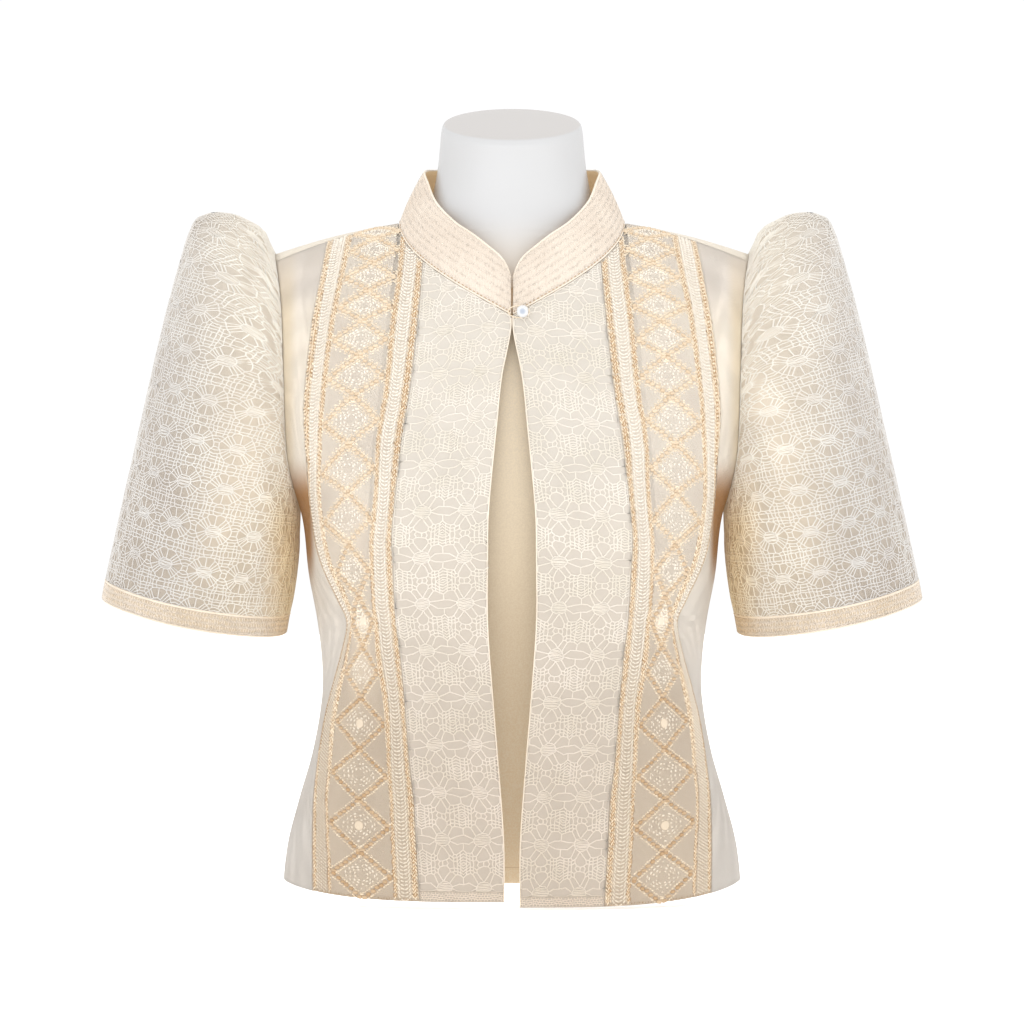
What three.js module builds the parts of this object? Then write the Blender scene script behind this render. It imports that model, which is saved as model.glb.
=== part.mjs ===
// Barong blouse: an open-front bolero with a stand collar and butterfly sleeves, worn by a
// limbless dress form that stands on its own flat base.
//
// Millimetres, +Z up. +X is the wearer's left and the front faces -Y. Every piece of cloth is a
// thin wall whose outer face lies on one shared surface, so neighbours meet at their seams.
import * as THREE from 'three';

// ---------- driving sizes ----------
const CLOTH_WALL = 1.5; // cloth with its seam allowances
const COLLAR_WALL = 1.8; // two layers and their interfacing
const SEAM_SPACE = 0.3; // space between two sewn pieces
const HALF_SEAM = SEAM_SPACE / 2;
const ROOT_SPACE = 0.02; // the same space where depth grows with the root of the drop
const SETTLE_PASSES = 24; // repeats that settle a point whose width and height depend on each other
const SHOULDER = { neckX: 84, neckZ: 504.5, tipX: 177, slope: 0.15, drop: 0.00105 };
const ARMPIT_Z = 290;
const CHEST_Z = 385; // above this height the cloth rounds over to the shoulder line
const SECTION_POWER = 2.4; // fullness of a horizontal section
const CROWN_POWER = { front: { centre: 3, tip: 2.2 }, back: { centre: 5, tip: 2.2 } };
const BUST = { x: 88, z: 292, rise: 13, wide: 48, tall: 56 };
const SHOULDER_REACH = 60; // height below the shoulder line in which the rows close up
const SHOULDER_SHARE = 0.25; // share of the rows spent there
const YOKE_DROP = 6.5; // how far the back wraps forward below the shoulder line at the tip
const NECK_SPACE = 0.4; // the panels stop this far outside the collar
const COLLAR_SPACE = 0.45; // the collar starts this far above the neckline
const CUT_X = SHOULDER.neckX + NECK_SPACE;
const NECKLINE = { frontZ: 432, backZ: 499 };
const HEM = { right: 5.8, left: 2.2, back: 4, side: 15, edgeX: 172, power: 4 };
const SLEEVE_START = 0.6; // the sleeve head stands this far outside the armhole edge
const SLEEVE_SETTLE = 0.2; // share of the sleeve's length in which it leaves the armhole's curve
const SLEEVE_HEM = 0.94; // share of the sleeve's length where its hem band begins
const HEM_SPACE = 0.001; // half the space above that band, in the same share
const PEARL = { x: 7.7, z: 434, radius: 4.6, space: 0.9 };
const LOOP = { x: 4.9, reach: 7.7, height: 4.3, wire: 0.45, forward: 0.5 };

// Facets: how finely each wall is divided.
const FRONT_ROWS = 24;
const BACK_ROWS = 26;
const COLLAR_ROWS = 3;
const SLEEVE_TURNS = 24;
const FORM_TURNS = 32;

// Body sections: half width, and depth of the front and the back at the centre line.
const BODY = [
  { z: 0, half: 172.5, front: 104, back: 98 },
  { z: 40, half: 168, front: 102, back: 97 },
  { z: 75, half: 159, front: 100, back: 94 },
  { z: 110, half: 149, front: 97, back: 90 },
  { z: 147, half: 142.5, front: 95, back: 86 },
  { z: 170, half: 142, front: 95, back: 86 },
  { z: 204, half: 145.5, front: 98, back: 89 },
  { z: 240, half: 152, front: 104, back: 94 },
  { z: 290, half: 158.5, front: 110, back: 98 },
  { z: 331, half: 177, front: 106, back: 100 },
  { z: 385, half: 191, front: 94, back: 100 },
  { z: 432, half: 191, front: 81, back: 98 },
  { z: 470, half: 191, front: 75, back: 96 },
  { z: 505, half: 191, front: 73, back: 96 },
];

// Armhole: where the body cloth ends beside the sleeve, from the armpit to the shoulder tip.
const ARMHOLE = [
  { z: 290, x: 158.5 },
  { z: 313, x: 163.5 },
  { z: 335, x: 166.3 },
  { z: 385, x: 167.8 },
  { z: 432, x: 170 },
  { z: 460, x: 173 },
  { z: 481.5, x: 177 },
];

// Edges of the embroidered band and of the front opening, by height.
const BAND_OUTER = [
  { z: 0, x: 144 },
  { z: 72, x: 143.4 },
  { z: 129, x: 138.7 },
  { z: 187, x: 125 },
  { z: 207, x: 118.5 },
  { z: 220, x: 124.3 },
  { z: 253, x: 137.8 },
  { z: 290, x: 144 },
  { z: 350, x: 150.4 },
  { z: 427, x: 145.6 },
  { z: 465, x: 140.3 },
  { z: 500, x: 136 },
];
const BAND_INNER = [
  { z: 0, x: 66.5 },
  { z: 72, x: 71.2 },
  { z: 129, x: 75 },
  { z: 187, x: 78.6 },
  { z: 220, x: 84 },
  { z: 270, x: 87 },
  { z: 345, x: 80 },
  { z: 389, x: 73.8 },
  { z: 430, x: 69 },
  { z: 470, x: 65.5 },
  { z: 505, x: 64 },
];
const OPENING = [
  { z: 0, x: 5.4 },
  { z: 50, x: 5.8 },
  { z: 101, x: 9.4 },
  { z: 145, x: 13 },
  { z: 206, x: 17.3 },
  { z: 256, x: 17.3 },
  { z: 289, x: 16.6 },
  { z: 351, x: 10.8 },
  { z: 386, x: 7.2 },
  { z: 421, x: 0.6 },
  { z: 440, x: 0.6 },
];

// Top edge of the collar, by the angle round the neck from the centre front.
const COLLAR_TOP = [
  { angle: 0, x: 0.6, z: 459 },
  { angle: 1.8, x: 2, z: 464 },
  { angle: 4.3, x: 4.9, z: 470.6 },
  { angle: 8.5, x: 9.7, z: 476.5 },
  { angle: 14.7, x: 16.6, z: 482.3 },
  { angle: 25.6, x: 28.3, z: 491.7 },
  { angle: 40.5, x: 42.5, z: 502 },
  { angle: 60, x: 56.6, z: 518 },
  { angle: 76, x: 63.2, z: 534 },
  { angle: 90, x: 66, z: 543 },
  { angle: 120, x: 58, z: 547 },
  { angle: 150, x: 34, z: 549 },
  { angle: 180, x: 0, z: 550 },
];
const COLLAR_SWELL = 1.4; // how far it bows outwards at half its height
const COLLAR_TOP_DEPTH = { front: 68, back: 61 };

// Sleeve lines, by share of its length: over the top, under the arm, and down the front.
const SLEEVE_TOP = [
  { t: 0, x: 177, z: 481.5 },
  { t: 0.05, x: 181.5, z: 490 },
  { t: 0.1, x: 186, z: 499 },
  { t: 0.17, x: 196, z: 505.5 },
  { t: 0.25, x: 209, z: 511 },
  { t: 0.32, x: 223.5, z: 512.3 },
  { t: 0.38, x: 236, z: 508 },
  { t: 0.43, x: 242.5, z: 496 },
  { t: 0.48, x: 247.5, z: 480 },
  { t: 0.56, x: 256.5, z: 448 },
  { t: 0.66, x: 266.5, z: 407 },
  { t: 0.78, x: 279, z: 351 },
  { t: 0.88, x: 291.5, z: 296 },
  { t: 0.94, x: 304.3, z: 238 },
  { t: 1, x: 307, z: 224 },
];
const SLEEVE_UNDER = [
  { t: 0, x: 158.5, z: 290 },
  { t: 0.3, x: 160, z: 272 },
  { t: 0.6, x: 161, z: 250 },
  { t: 0.85, x: 164, z: 226 },
  { t: 0.94, x: 167, z: 212 },
  { t: 1, x: 169.5, z: 198 },
];
const SLEEVE_FRONT = [
  { t: 0, x: 167.8, y: -54, z: 385 },
  { t: 0.1, x: 174, y: -67, z: 383 },
  { t: 0.2, x: 182, y: -76, z: 377 },
  { t: 0.3, x: 190, y: -82, z: 366 },
  { t: 0.45, x: 202, y: -87, z: 338 },
  { t: 0.6, x: 213, y: -88, z: 305 },
  { t: 0.75, x: 223, y: -86, z: 270 },
  { t: 0.88, x: 231.5, y: -81, z: 236 },
  { t: 0.94, x: 236, y: -78.5, z: 217.5 },
  { t: 1, x: 238, y: -77, z: 203.5 },
];
const SLEEVE_BACK = [
  { t: 0, x: 167.8, y: 56, z: 385 },
  { t: 0.2, x: 181, y: 74, z: 378 },
  { t: 0.45, x: 201, y: 85, z: 340 },
  { t: 0.75, x: 222, y: 85, z: 272 },
  { t: 0.94, x: 236, y: 78, z: 220 },
  { t: 1, x: 238, y: 76, z: 206 },
];
const CREST_PINCH = 0.22; // how much narrower the sleeve is at its crest than an ellipse

// Dress form sections: half width, depth to the front and the back, and fullness.
const FORM = [
  { z: 0, half: 147, front: 66, back: 80, power: 2.3 },
  { z: 6, half: 151, front: 70, back: 84, power: 2.3 },
  { z: 40, half: 150, front: 70, back: 86, power: 2.3 },
  { z: 90, half: 141, front: 64, back: 80, power: 2.2 },
  { z: 130, half: 131, front: 60, back: 75, power: 2.2 },
  { z: 165, half: 128, front: 62, back: 74, power: 2.2 },
  { z: 205, half: 133, front: 70, back: 79, power: 2.2 },
  { z: 250, half: 144, front: 88, back: 87, power: 2.3 },
  { z: 300, half: 152, front: 99, back: 92, power: 2.4 },
  { z: 350, half: 156, front: 93, back: 92, power: 2.4 },
  { z: 400, half: 159, front: 82, back: 90, power: 2.4 },
  { z: 440, half: 163, front: 69, back: 80, power: 2.2 },
  { z: 462, half: 166, front: 60, back: 70, power: 2 },
  { z: 474, half: 166, front: 56, back: 63, power: 1.8 },
];
const FORM_SHOULDER_SPACE = 0.9; // the cloth rests this far above the form's shoulders
const FORM_TIP = 166; // half width of its shoulders
const FORM_SHOULDER = [
  { z: 480, front: 50.5, back: 59, power: 1.65 },
  { z: 484, front: 48, back: 56, power: 1.55 },
  { z: 489, front: 44.5, back: 53, power: 1.5 },
  { z: 493.5, front: 40, back: 52, power: 1.4 },
];
const FORM_NECK = [
  { z: 498, half: 88.5, front: 43.5, back: 52, power: 1.5 },
  { z: 503, half: 76, front: 49, back: 53, power: 1.8 },
  { z: 510, half: 67, front: 52, back: 54, power: 2 },
  { z: 520, half: 61.5, front: 52.5, back: 54.5, power: 2 },
  { z: 534, half: 57.5, front: 52.5, back: 54.5, power: 2 },
  { z: 553, half: 55, front: 51, back: 53, power: 2 },
];
const NECK_CAP = { z: 580, tilt: 0.34, half: 53, depth: 51, rim: 4 };

const CREAM = { color: 0xe9dfcd, roughness: 0.85, metalness: 0 };
const LACE = { color: 0xf2e8d8, roughness: 0.9, metalness: 0 };
const BAND = { color: 0xecd6b4, roughness: 0.8, metalness: 0 };
const PLASTIC = { color: 0xececec, roughness: 0.25, metalness: 0 };
const NACRE = { color: 0xf4f1ee, roughness: 0.15, metalness: 0 };
const THREAD = { color: 0xe6cfa6, roughness: 0.8, metalness: 0 };

// ---------- curves ----------
/** Value of a column where the key column reads `at`, on a smooth curve through the rows. */
function follow(table, key, column, at) {
  const last = table.length - 1;
  if (at <= table[0][key]) return table[0][column];
  if (at >= table[last][key]) return table[last][column];
  const index = table.findIndex((row) => row[key] > at) - 1;
  const slopeAt = (i) => {
    const before = table[Math.max(i - 1, 0)];
    const after = table[Math.min(i + 1, last)];
    return (after[column] - before[column]) / (after[key] - before[key]);
  };
  const low = table[index];
  const high = table[index + 1];
  const step = high[key] - low[key];
  const t = (at - low[key]) / step;
  const t2 = t * t;
  const t3 = t2 * t;
  return (2 * t3 - 3 * t2 + 1) * low[column] + (t3 - 2 * t2 + t) * step * slopeAt(index)
    + (3 * t2 - 2 * t3) * high[column] + (t3 - t2) * step * slopeAt(index + 1);
}

const mix = (a, b, t) => a + (b - a) * t;
const steps = (count) => Array.from({ length: count + 1 }, (_, i) => i / count);

// ---------- the shared surface of the body cloth ----------
/** Height of the shoulder line at a distance from the centre. */
function shoulderZ(x) {
  const out = x - SHOULDER.neckX;
  return SHOULDER.neckZ - SHOULDER.slope * out - SHOULDER.drop * out * out;
}

/** Distance from the centre at which the shoulder line has a height. */
function shoulderX(z) {
  const { slope, drop } = SHOULDER;
  const root = Math.sqrt(slope * slope + 4 * drop * (SHOULDER.neckZ - z));
  return SHOULDER.neckX + (root - slope) / (2 * drop);
}

/** How far out the body cloth goes: the side seam, then the armhole edge. */
function lateralX(z) {
  return z <= ARMPIT_Z ? follow(BODY, 'z', 'half', z) : follow(ARMHOLE, 'z', 'x', z);
}

/** Depth of the cloth at a distance from the centre and a height; the front is negative. */
function clothY(x, z, face) {
  const share = Math.min(x / follow(BODY, 'z', 'half', z), 1);
  const section = (1 - share ** SECTION_POWER) ** (1 / SECTION_POWER);
  const up = Math.min(Math.max((z - CHEST_Z) / (shoulderZ(x) - CHEST_Z), 0), 1);
  const { centre, tip } = CROWN_POWER[face];
  const crown = Math.sqrt(1 - up ** mix(centre, tip, Math.min(x / SHOULDER.tipX, 1)));
  const depth = follow(BODY, 'z', face, z) * section * crown;
  if (face === 'back') return depth;
  const across = (x - BUST.x) / BUST.wide;
  const along = (z - BUST.z) / BUST.tall;
  return -depth - BUST.rise * Math.exp(-across * across - along * along) * crown * section;
}

/** Height of the front neckline, or of the back one. */
function necklineZ(x, face) {
  const share = Math.min(x / SHOULDER.neckX, 1);
  if (face === 'front') return mix(NECKLINE.frontZ, SHOULDER.neckZ, Math.asin(share) / (Math.PI / 2));
  return mix(SHOULDER.neckZ, NECKLINE.backZ, Math.sqrt(1 - share * share));
}

/** Height at which the panels are cut off below the collar, just outside the neckline. */
function neckCutZ(x, face) {
  return necklineZ((x * SHOULDER.neckX) / CUT_X, face) - NECK_SPACE * (1 - x / CUT_X);
}

/** Square root of the yoke seam's drop below the shoulder line, so that depth grows evenly. */
function yokeRoot(x) {
  return Math.sqrt((YOKE_DROP * Math.max(x - CUT_X, 0)) / (SHOULDER.tipX - CUT_X));
}

/**
 * Row position of a height, counted 1 at the shoulder line and more beyond it. `root` is the
 * square root of the drop below that line, negative in front of it for the back's yoke.
 */
function rowAtRoot(root, bottom, top) {
  if (root * root <= SHOULDER_REACH) return 1 - SHOULDER_SHARE * (root / Math.sqrt(SHOULDER_REACH));
  return ((1 - SHOULDER_SHARE) * (top - root * root - bottom)) / (top - SHOULDER_REACH - bottom);
}

/** Height at a row position: even rows up to the shoulder, then closing up quadratically. */
function rowZ(bottom, top, row) {
  const knee = 1 - SHOULDER_SHARE;
  if (row <= knee) return mix(bottom, top - SHOULDER_REACH, row / knee);
  return top - SHOULDER_REACH * ((1 - row) / SHOULDER_SHARE) ** 2;
}

/** Height of the hem at a distance from the centre. */
function hemZ(x, centre) {
  return centre + (HEM.side - centre) * (x / HEM.edgeX) ** HEM.power;
}

// ---------- closed walls ----------
/**
 * Closed wall from a grid function point(a, b) on its outer face. The wall goes inwards, against
 * the face's normal, and `ring` joins the last column to the first.
 */
function wall(point, columns, rows, thickness, { ring = false, flip = false } = {}) {
  const nudge = 1e-4;
  const span = (list, value, offset) => {
    if (ring && list === columns) return value + offset;
    return Math.min(Math.max(value + offset, list[0]), list[list.length - 1]);
  };
  const used = ring ? columns.slice(0, -1) : columns;
  const wide = used.length;
  const tall = rows.length;
  const positions = [];
  const layer = (depth) => {
    for (const b of rows) {
      for (const a of used) {
        const here = point(a, b);
        const da = point(span(columns, a, nudge), b).sub(point(span(columns, a, -nudge), b));
        const db = point(a, span(rows, b, nudge)).sub(point(a, span(rows, b, -nudge)));
        const normal = da.cross(db).normalize();
        here.addScaledVector(normal, flip ? depth : -depth);
        positions.push(here.x, here.y, here.z);
      }
    }
  };
  layer(0);
  layer(thickness);
  const index = [];
  const inner = wide * tall;
  const quad = (a, b, c, d) => {
    if (flip) index.push(a, c, b, a, d, c);
    else index.push(a, b, c, a, c, d);
  };
  const lastColumn = ring ? wide : wide - 1;
  for (let j = 0; j < tall - 1; j += 1) {
    for (let i = 0; i < lastColumn; i += 1) {
      const a = j * wide + i;
      const b = j * wide + ((i + 1) % wide);
      quad(a, b, b + wide, a + wide);
      quad(inner + a, inner + a + wide, inner + b + wide, inner + b);
    }
  }
  for (let i = 0; i < lastColumn; i += 1) {
    const next = (i + 1) % wide;
    const top = (tall - 1) * wide;
    quad(inner + i, inner + next, next, i);
    quad(top + i, top + next, inner + top + next, inner + top + i);
  }
  if (!ring) {
    for (let j = 0; j < tall - 1; j += 1) {
      const a = j * wide;
      const b = a + wide - 1;
      quad(a, a + wide, inner + a + wide, inner + a);
      quad(b, inner + b, inner + b + wide, b + wide);
    }
  }
  const geometry = new THREE.BufferGeometry();
  geometry.setAttribute('position', new THREE.Float32BufferAttribute(positions, 3));
  geometry.setIndex(index);
  return geometry;
}

const blouse = new THREE.Group();
const standing = new THREE.Group();
blouse.add(standing);

/** Adds a named piece in its own material. */
function addPiece(name, geometry, finish) {
  const piece = new THREE.Mesh(geometry, new THREE.MeshStandardMaterial(finish));
  piece.name = name;
  standing.add(piece);
}

// ---------- front pieces ----------
/** Square root of the drop at which the front cloth ends: the neckline, or the yoke seam. */
function frontTopRoot(x) {
  if (x >= CUT_X) return yokeRoot(x) + ROOT_SPACE;
  return Math.sqrt(Math.max(shoulderZ(x) - neckCutZ(x, 'front'), 0)) + ROOT_SPACE;
}

/** A front piece between two edges given by height, on one side of the body. */
function frontPiece(side, inner, outer, columns) {
  const centreHem = side > 0 ? HEM.left : HEM.right;
  const settle = (a, heightAt) => {
    let z = CHEST_Z;
    let x = mix(inner(z), outer(z), a);
    for (let pass = 0; pass < SETTLE_PASSES; pass += 1) {
      x = (x + mix(inner(z), outer(z), a)) / 2;
      z = heightAt(x);
    }
    return [x, z];
  };
  const point = (a, b) => {
    const [topX] = settle(a, (x) => shoulderZ(x) - frontTopRoot(x) ** 2);
    const topRow = rowAtRoot(frontTopRoot(topX), hemZ(topX, centreHem), shoulderZ(topX));
    const [x, z] = settle(a, (at) => rowZ(hemZ(at, centreHem), shoulderZ(at), b * topRow));
    return new THREE.Vector3(side * x, clothY(x, z, 'front') - HALF_SEAM, z);
  };
  return wall(point, columns, steps(FRONT_ROWS), CLOTH_WALL, { flip: side < 0 });
}

const BAND_COLUMNS = [0, 0.139, 0.226, 0.268, 0.283, 0.42, 0.6, 0.8, 1]; // closer at the neck point
const SIDE_COLUMNS = steps(6).map((share) => 1 - (1 - share) ** 2); // closer at the side seam
const edgeOf = (table, shift) => (z) => follow(table, 'z', 'x', z) + shift;

for (const [side, word] of [[-1, 'right'], [1, 'left']]) {
  const pieces = [
    ['lace_front', edgeOf(OPENING, 0), edgeOf(BAND_INNER, -HALF_SEAM), steps(5), LACE],
    ['trim_band', edgeOf(BAND_INNER, HALF_SEAM), edgeOf(BAND_OUTER, -HALF_SEAM), BAND_COLUMNS, BAND],
    ['side_front', edgeOf(BAND_OUTER, HALF_SEAM), lateralX, SIDE_COLUMNS, CREAM],
  ];
  for (const [name, inner, outer, columns, finish] of pieces) {
    addPiece(`${name}_${word}`, frontPiece(side, inner, outer, columns), finish);
  }
}

// ---------- back with its forward yoke ----------
const BACK_COLUMNS = [0, 0.1, 0.2, 0.29, 0.37, 0.43, 0.465, CUT_X / SHOULDER.tipX, 0.53, 0.6,
  0.68, 0.76, 0.84, 0.91, 0.96, 0.988, 1];

/** Square root of the drop at which the back ends; negative where it wraps over as the yoke. */
function backTopRoot(x) {
  if (x >= CUT_X) return ROOT_SPACE - yokeRoot(x);
  return Math.sqrt(Math.max(shoulderZ(x) - neckCutZ(x, 'back'), 0)) + ROOT_SPACE;
}

function backPoint(a, b) {
  const side = Math.sign(a) || 1;
  const share = Math.abs(a);
  let z = CHEST_Z;
  let x = 0;
  let row = b;
  for (let pass = 0; pass < SETTLE_PASSES; pass += 1) {
    x = share * lateralX(z);
    const bottom = hemZ(x, HEM.back);
    const top = shoulderZ(x);
    row = b * rowAtRoot(backTopRoot(share * SHOULDER.tipX), bottom, top);
    z = rowZ(bottom, top, row);
  }
  const face = row <= 1 ? 'back' : 'front';
  const clear = face === 'back' ? HALF_SEAM : -HALF_SEAM;
  return new THREE.Vector3(side * x, clothY(x, z, face) + clear, z);
}

const backColumns = [...BACK_COLUMNS.slice(1).reverse().map((a) => -a), ...BACK_COLUMNS];
addPiece('back_panel', wall(backPoint, backColumns, steps(BACK_ROWS), CLOTH_WALL, { flip: true }), CREAM);

// ---------- collar ----------
const CENTRE_EDGE = OPENING[OPENING.length - 1].x; // the fronts and the collar meet this near

/** Point of the neckline at an angle round the neck, counted from the centre front. */
function necklinePoint(angle) {
  const x = Math.abs(SHOULDER.neckX * Math.sin(THREE.MathUtils.degToRad(angle)));
  const face = angle <= 90 ? 'front' : 'back';
  const z = necklineZ(x, face);
  return new THREE.Vector3(x, clothY(x, z, face), z);
}

function collarTopPoint(angle) {
  const depth = angle <= 90 ? COLLAR_TOP_DEPTH.front : COLLAR_TOP_DEPTH.back;
  return new THREE.Vector3(follow(COLLAR_TOP, 'angle', 'x', angle),
    -depth * Math.cos(THREE.MathUtils.degToRad(angle)), follow(COLLAR_TOP, 'angle', 'z', angle));
}

/** Point of the collar on the wearer's left, from the neckline at 0 to the top edge at 1. */
function collarPoint(angle, rise) {
  const base = necklinePoint(angle);
  const top = collarTopPoint(angle);
  base.x = Math.max(base.x + CENTRE_EDGE * (1 - base.x / SHOULDER.neckX) * (angle < 90 ? 1 : 0), 0);
  const lift = top.clone().sub(base).normalize().multiplyScalar(COLLAR_SPACE);
  const here = base.add(lift).lerp(top, rise);
  const swell = 1 + (COLLAR_SWELL * 4 * rise * (1 - rise)) / Math.hypot(here.x, here.y);
  return here.set(here.x * swell, here.y * swell, here.z);
}

// Both halves run from the centre front round to the centre back, in one closed wall.
const COLLAR_ANGLES = [0, 1.8, 4.3, 8.5, 14.7, 25, 37, 50, 62, 73, 82, 90, 98, 108, 122, 140, 160];
const collarColumns = [...COLLAR_ANGLES, 180, ...COLLAR_ANGLES.slice().reverse().map((a) => 360 - a)];
function collarRound(a, b) {
  const here = collarPoint(a <= 180 ? a : 360 - a, b);
  return here.setX(a <= 180 ? here.x : -here.x);
}
addPiece('collar', wall(collarRound, collarColumns, steps(COLLAR_ROWS), COLLAR_WALL), LACE);

// ---------- sleeves ----------
/** Point of the armhole edge at an angle from the shoulder tip, the front first. */
function armholePoint(turn) {
  const middle = (shoulderZ(SHOULDER.tipX) + ARMPIT_Z) / 2;
  const z = middle + (middle - ARMPIT_Z) * Math.cos(turn);
  const x = lateralX(z);
  return new THREE.Vector3(x + SLEEVE_START, clothY(x, z, Math.sin(turn) >= 0 ? 'front' : 'back'), z);
}

/** Point of a sleeve ring laid through the four lines of the sleeve. */
function sleeveRing(t, turn) {
  const line = (table) => new THREE.Vector3(follow(table, 't', 'x', t),
    'y' in table[0] ? follow(table, 't', 'y', t) : 0, follow(table, 't', 'z', t));
  const top = line(SLEEVE_TOP);
  const under = line(SLEEVE_UNDER);
  const flank = line(Math.sin(turn) >= 0 ? SLEEVE_FRONT : SLEEVE_BACK);
  const centre = top.clone().add(under).multiplyScalar(0.5);
  const upright = top.clone().sub(centre);
  const out = flank.clone().sub(centre);
  const swell = Math.abs(Math.sin(turn)) * (1 - CREST_PINCH * Math.max(Math.cos(turn), 0) ** 2);
  return centre.addScaledVector(upright, Math.cos(turn)).addScaledVector(out, swell);
}

function sleevePoint(side) {
  return (turn, t) => {
    const here = sleeveRing(t, turn);
    const settle = Math.max(1 - t / SLEEVE_SETTLE, 0) ** 2;
    here.add(armholePoint(turn).sub(sleeveRing(0, turn)).multiplyScalar(settle));
    if (settle < 1) here.x = Math.max(here.x, SLEEVE_UNDER[0].x + SLEEVE_START);
    return here.setX(side * here.x);
  };
}

const SLEEVE_ROWS = [0, 0.03, 0.06, 0.1, 0.15, 0.2, 0.26, 0.32, 0.37, 0.42, 0.48, 0.56, 0.65, 0.75, 0.85];
const sleeveTurns = steps(SLEEVE_TURNS).map((share) => share * 2 * Math.PI);
for (const [side, word] of [[-1, 'right'], [1, 'left']]) {
  const flip = side < 0;
  addPiece(`sleeve_${word}`, wall(sleevePoint(side), sleeveTurns,
    [...SLEEVE_ROWS, SLEEVE_HEM - HEM_SPACE], CLOTH_WALL, { ring: true, flip }), LACE);
  addPiece(`sleeve_hem_${word}`, wall(sleevePoint(side), sleeveTurns,
    [SLEEVE_HEM + HEM_SPACE, 1], CLOTH_WALL, { ring: true, flip }), LACE);
}

// ---------- pearl button and its thread loop ----------
const buttonSeatY = clothY(PEARL.x, NECKLINE.frontZ, 'front') - PEARL.space;
const pearl = new THREE.SphereGeometry(PEARL.radius, 14, 10);
pearl.rotateX(Math.PI / 2);
pearl.translate(PEARL.x, buttonSeatY - PEARL.radius, PEARL.z);
addPiece('pearl_button', pearl, NACRE);

const loopPath = new THREE.CatmullRomCurve3(steps(16).slice(0, -1).map((share) => {
  const turn = share * 2 * Math.PI;
  return new THREE.Vector3(LOOP.x + LOOP.reach * Math.cos(turn), buttonSeatY - LOOP.wire - LOOP.forward,
    PEARL.z + LOOP.height * Math.sin(turn));
}), true);
const wire = new THREE.Shape(steps(6).slice(0, -1).map((share) => new THREE.Vector2(
  LOOP.wire * Math.cos(share * 2 * Math.PI), LOOP.wire * Math.sin(share * 2 * Math.PI))));
const loop = new THREE.ExtrudeGeometry(wire, { steps: 24, extrudePath: loopPath });
addPiece('button_loop', loop, THREAD);

// ---------- dress form ----------
/** One ring of the form, a superellipse with its own depth to the front and the back. */
function formRing({ z, half, front, back, power, tilt = 0 }) {
  return steps(FORM_TURNS).slice(0, -1).map((share) => {
    const turn = share * 2 * Math.PI;
    const round = (value) => Math.sign(value) * Math.abs(value) ** (2 / power);
    const y = (Math.sin(turn) < 0 ? front : back) * round(Math.sin(turn));
    return new THREE.Vector3(half * round(Math.cos(turn)), y, z + tilt * y);
  });
}

const shoulderRows = FORM_SHOULDER.map((row) => ({
  ...row, half: Math.min(shoulderX(row.z + CLOTH_WALL + FORM_SHOULDER_SPACE), FORM_TIP),
}));
const { rim } = NECK_CAP;
const capRow = (z, inset) => ({
  z, half: NECK_CAP.half - inset, front: NECK_CAP.depth - inset, back: NECK_CAP.depth - inset, power: 2,
  tilt: NECK_CAP.tilt,
});
const formRows = [...FORM, ...shoulderRows, ...FORM_NECK,
  { ...capRow(NECK_CAP.z - 3 * rim, -1), tilt: NECK_CAP.tilt * 0.6 },
  capRow(NECK_CAP.z - rim, 0), capRow(NECK_CAP.z - 0.3 * rim, 0.3 * rim), capRow(NECK_CAP.z, rim)];
const rings = formRows.map(formRing);
const formPositions = rings.flat().flatMap((p) => p.toArray());
const baseCentre = formPositions.length / 3;
formPositions.push(0, 0, 0, 0, 0, NECK_CAP.z);
const formIndex = [];
for (let i = 0; i < FORM_TURNS; i += 1) {
  const next = (i + 1) % FORM_TURNS;
  for (let j = 0; j < rings.length - 1; j += 1) {
    const low = j * FORM_TURNS;
    const high = low + FORM_TURNS;
    formIndex.push(low + i, low + next, high + next, low + i, high + next, high + i);
  }
  const crown = (rings.length - 1) * FORM_TURNS;
  formIndex.push(baseCentre, next, i, baseCentre + 1, crown + i, crown + next);
}
const form = new THREE.BufferGeometry();
form.setAttribute('position', new THREE.Float32BufferAttribute(formPositions, 3));
form.setIndex(formIndex);
addPiece('dress_form', form, PLASTIC);

// The origin is on the floor, midway between the foremost and the rearmost cloth.
const reach = new THREE.Box3().setFromObject(standing);
standing.position.y = -(reach.min.y + reach.max.y) / 2;

export default blouse;
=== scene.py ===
import logging
import math
from collections.abc import Callable
from dataclasses import dataclass
from enum import Enum

import bpy
import numpy as np
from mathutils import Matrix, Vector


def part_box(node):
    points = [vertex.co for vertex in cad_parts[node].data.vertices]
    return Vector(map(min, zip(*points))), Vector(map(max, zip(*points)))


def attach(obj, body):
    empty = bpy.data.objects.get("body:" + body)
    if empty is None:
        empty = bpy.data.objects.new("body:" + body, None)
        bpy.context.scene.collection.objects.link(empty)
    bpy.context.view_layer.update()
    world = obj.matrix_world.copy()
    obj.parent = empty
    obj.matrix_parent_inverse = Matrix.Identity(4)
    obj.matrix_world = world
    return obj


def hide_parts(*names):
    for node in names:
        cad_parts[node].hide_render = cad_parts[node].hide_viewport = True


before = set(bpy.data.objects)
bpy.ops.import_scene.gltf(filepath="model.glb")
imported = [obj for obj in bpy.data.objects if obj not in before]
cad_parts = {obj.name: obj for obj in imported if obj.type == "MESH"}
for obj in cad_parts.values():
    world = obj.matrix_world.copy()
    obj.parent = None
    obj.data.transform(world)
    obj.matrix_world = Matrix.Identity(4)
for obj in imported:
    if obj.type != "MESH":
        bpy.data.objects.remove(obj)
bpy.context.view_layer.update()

# Barong blouse: an open-front bolero with a stand collar, embroidered bands and raised butterfly
# sleeves, on a limbless dress form. Garment sizes below are millimetres from the middle of the
# garment, +X to the wearer's left and the front towards -Y. Finished meshes are in metres.
MM = 0.001
MIDDLE_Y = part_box("dress_form")[1].y / MM - 92.0  # where the garment's middle stands in the frame
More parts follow.
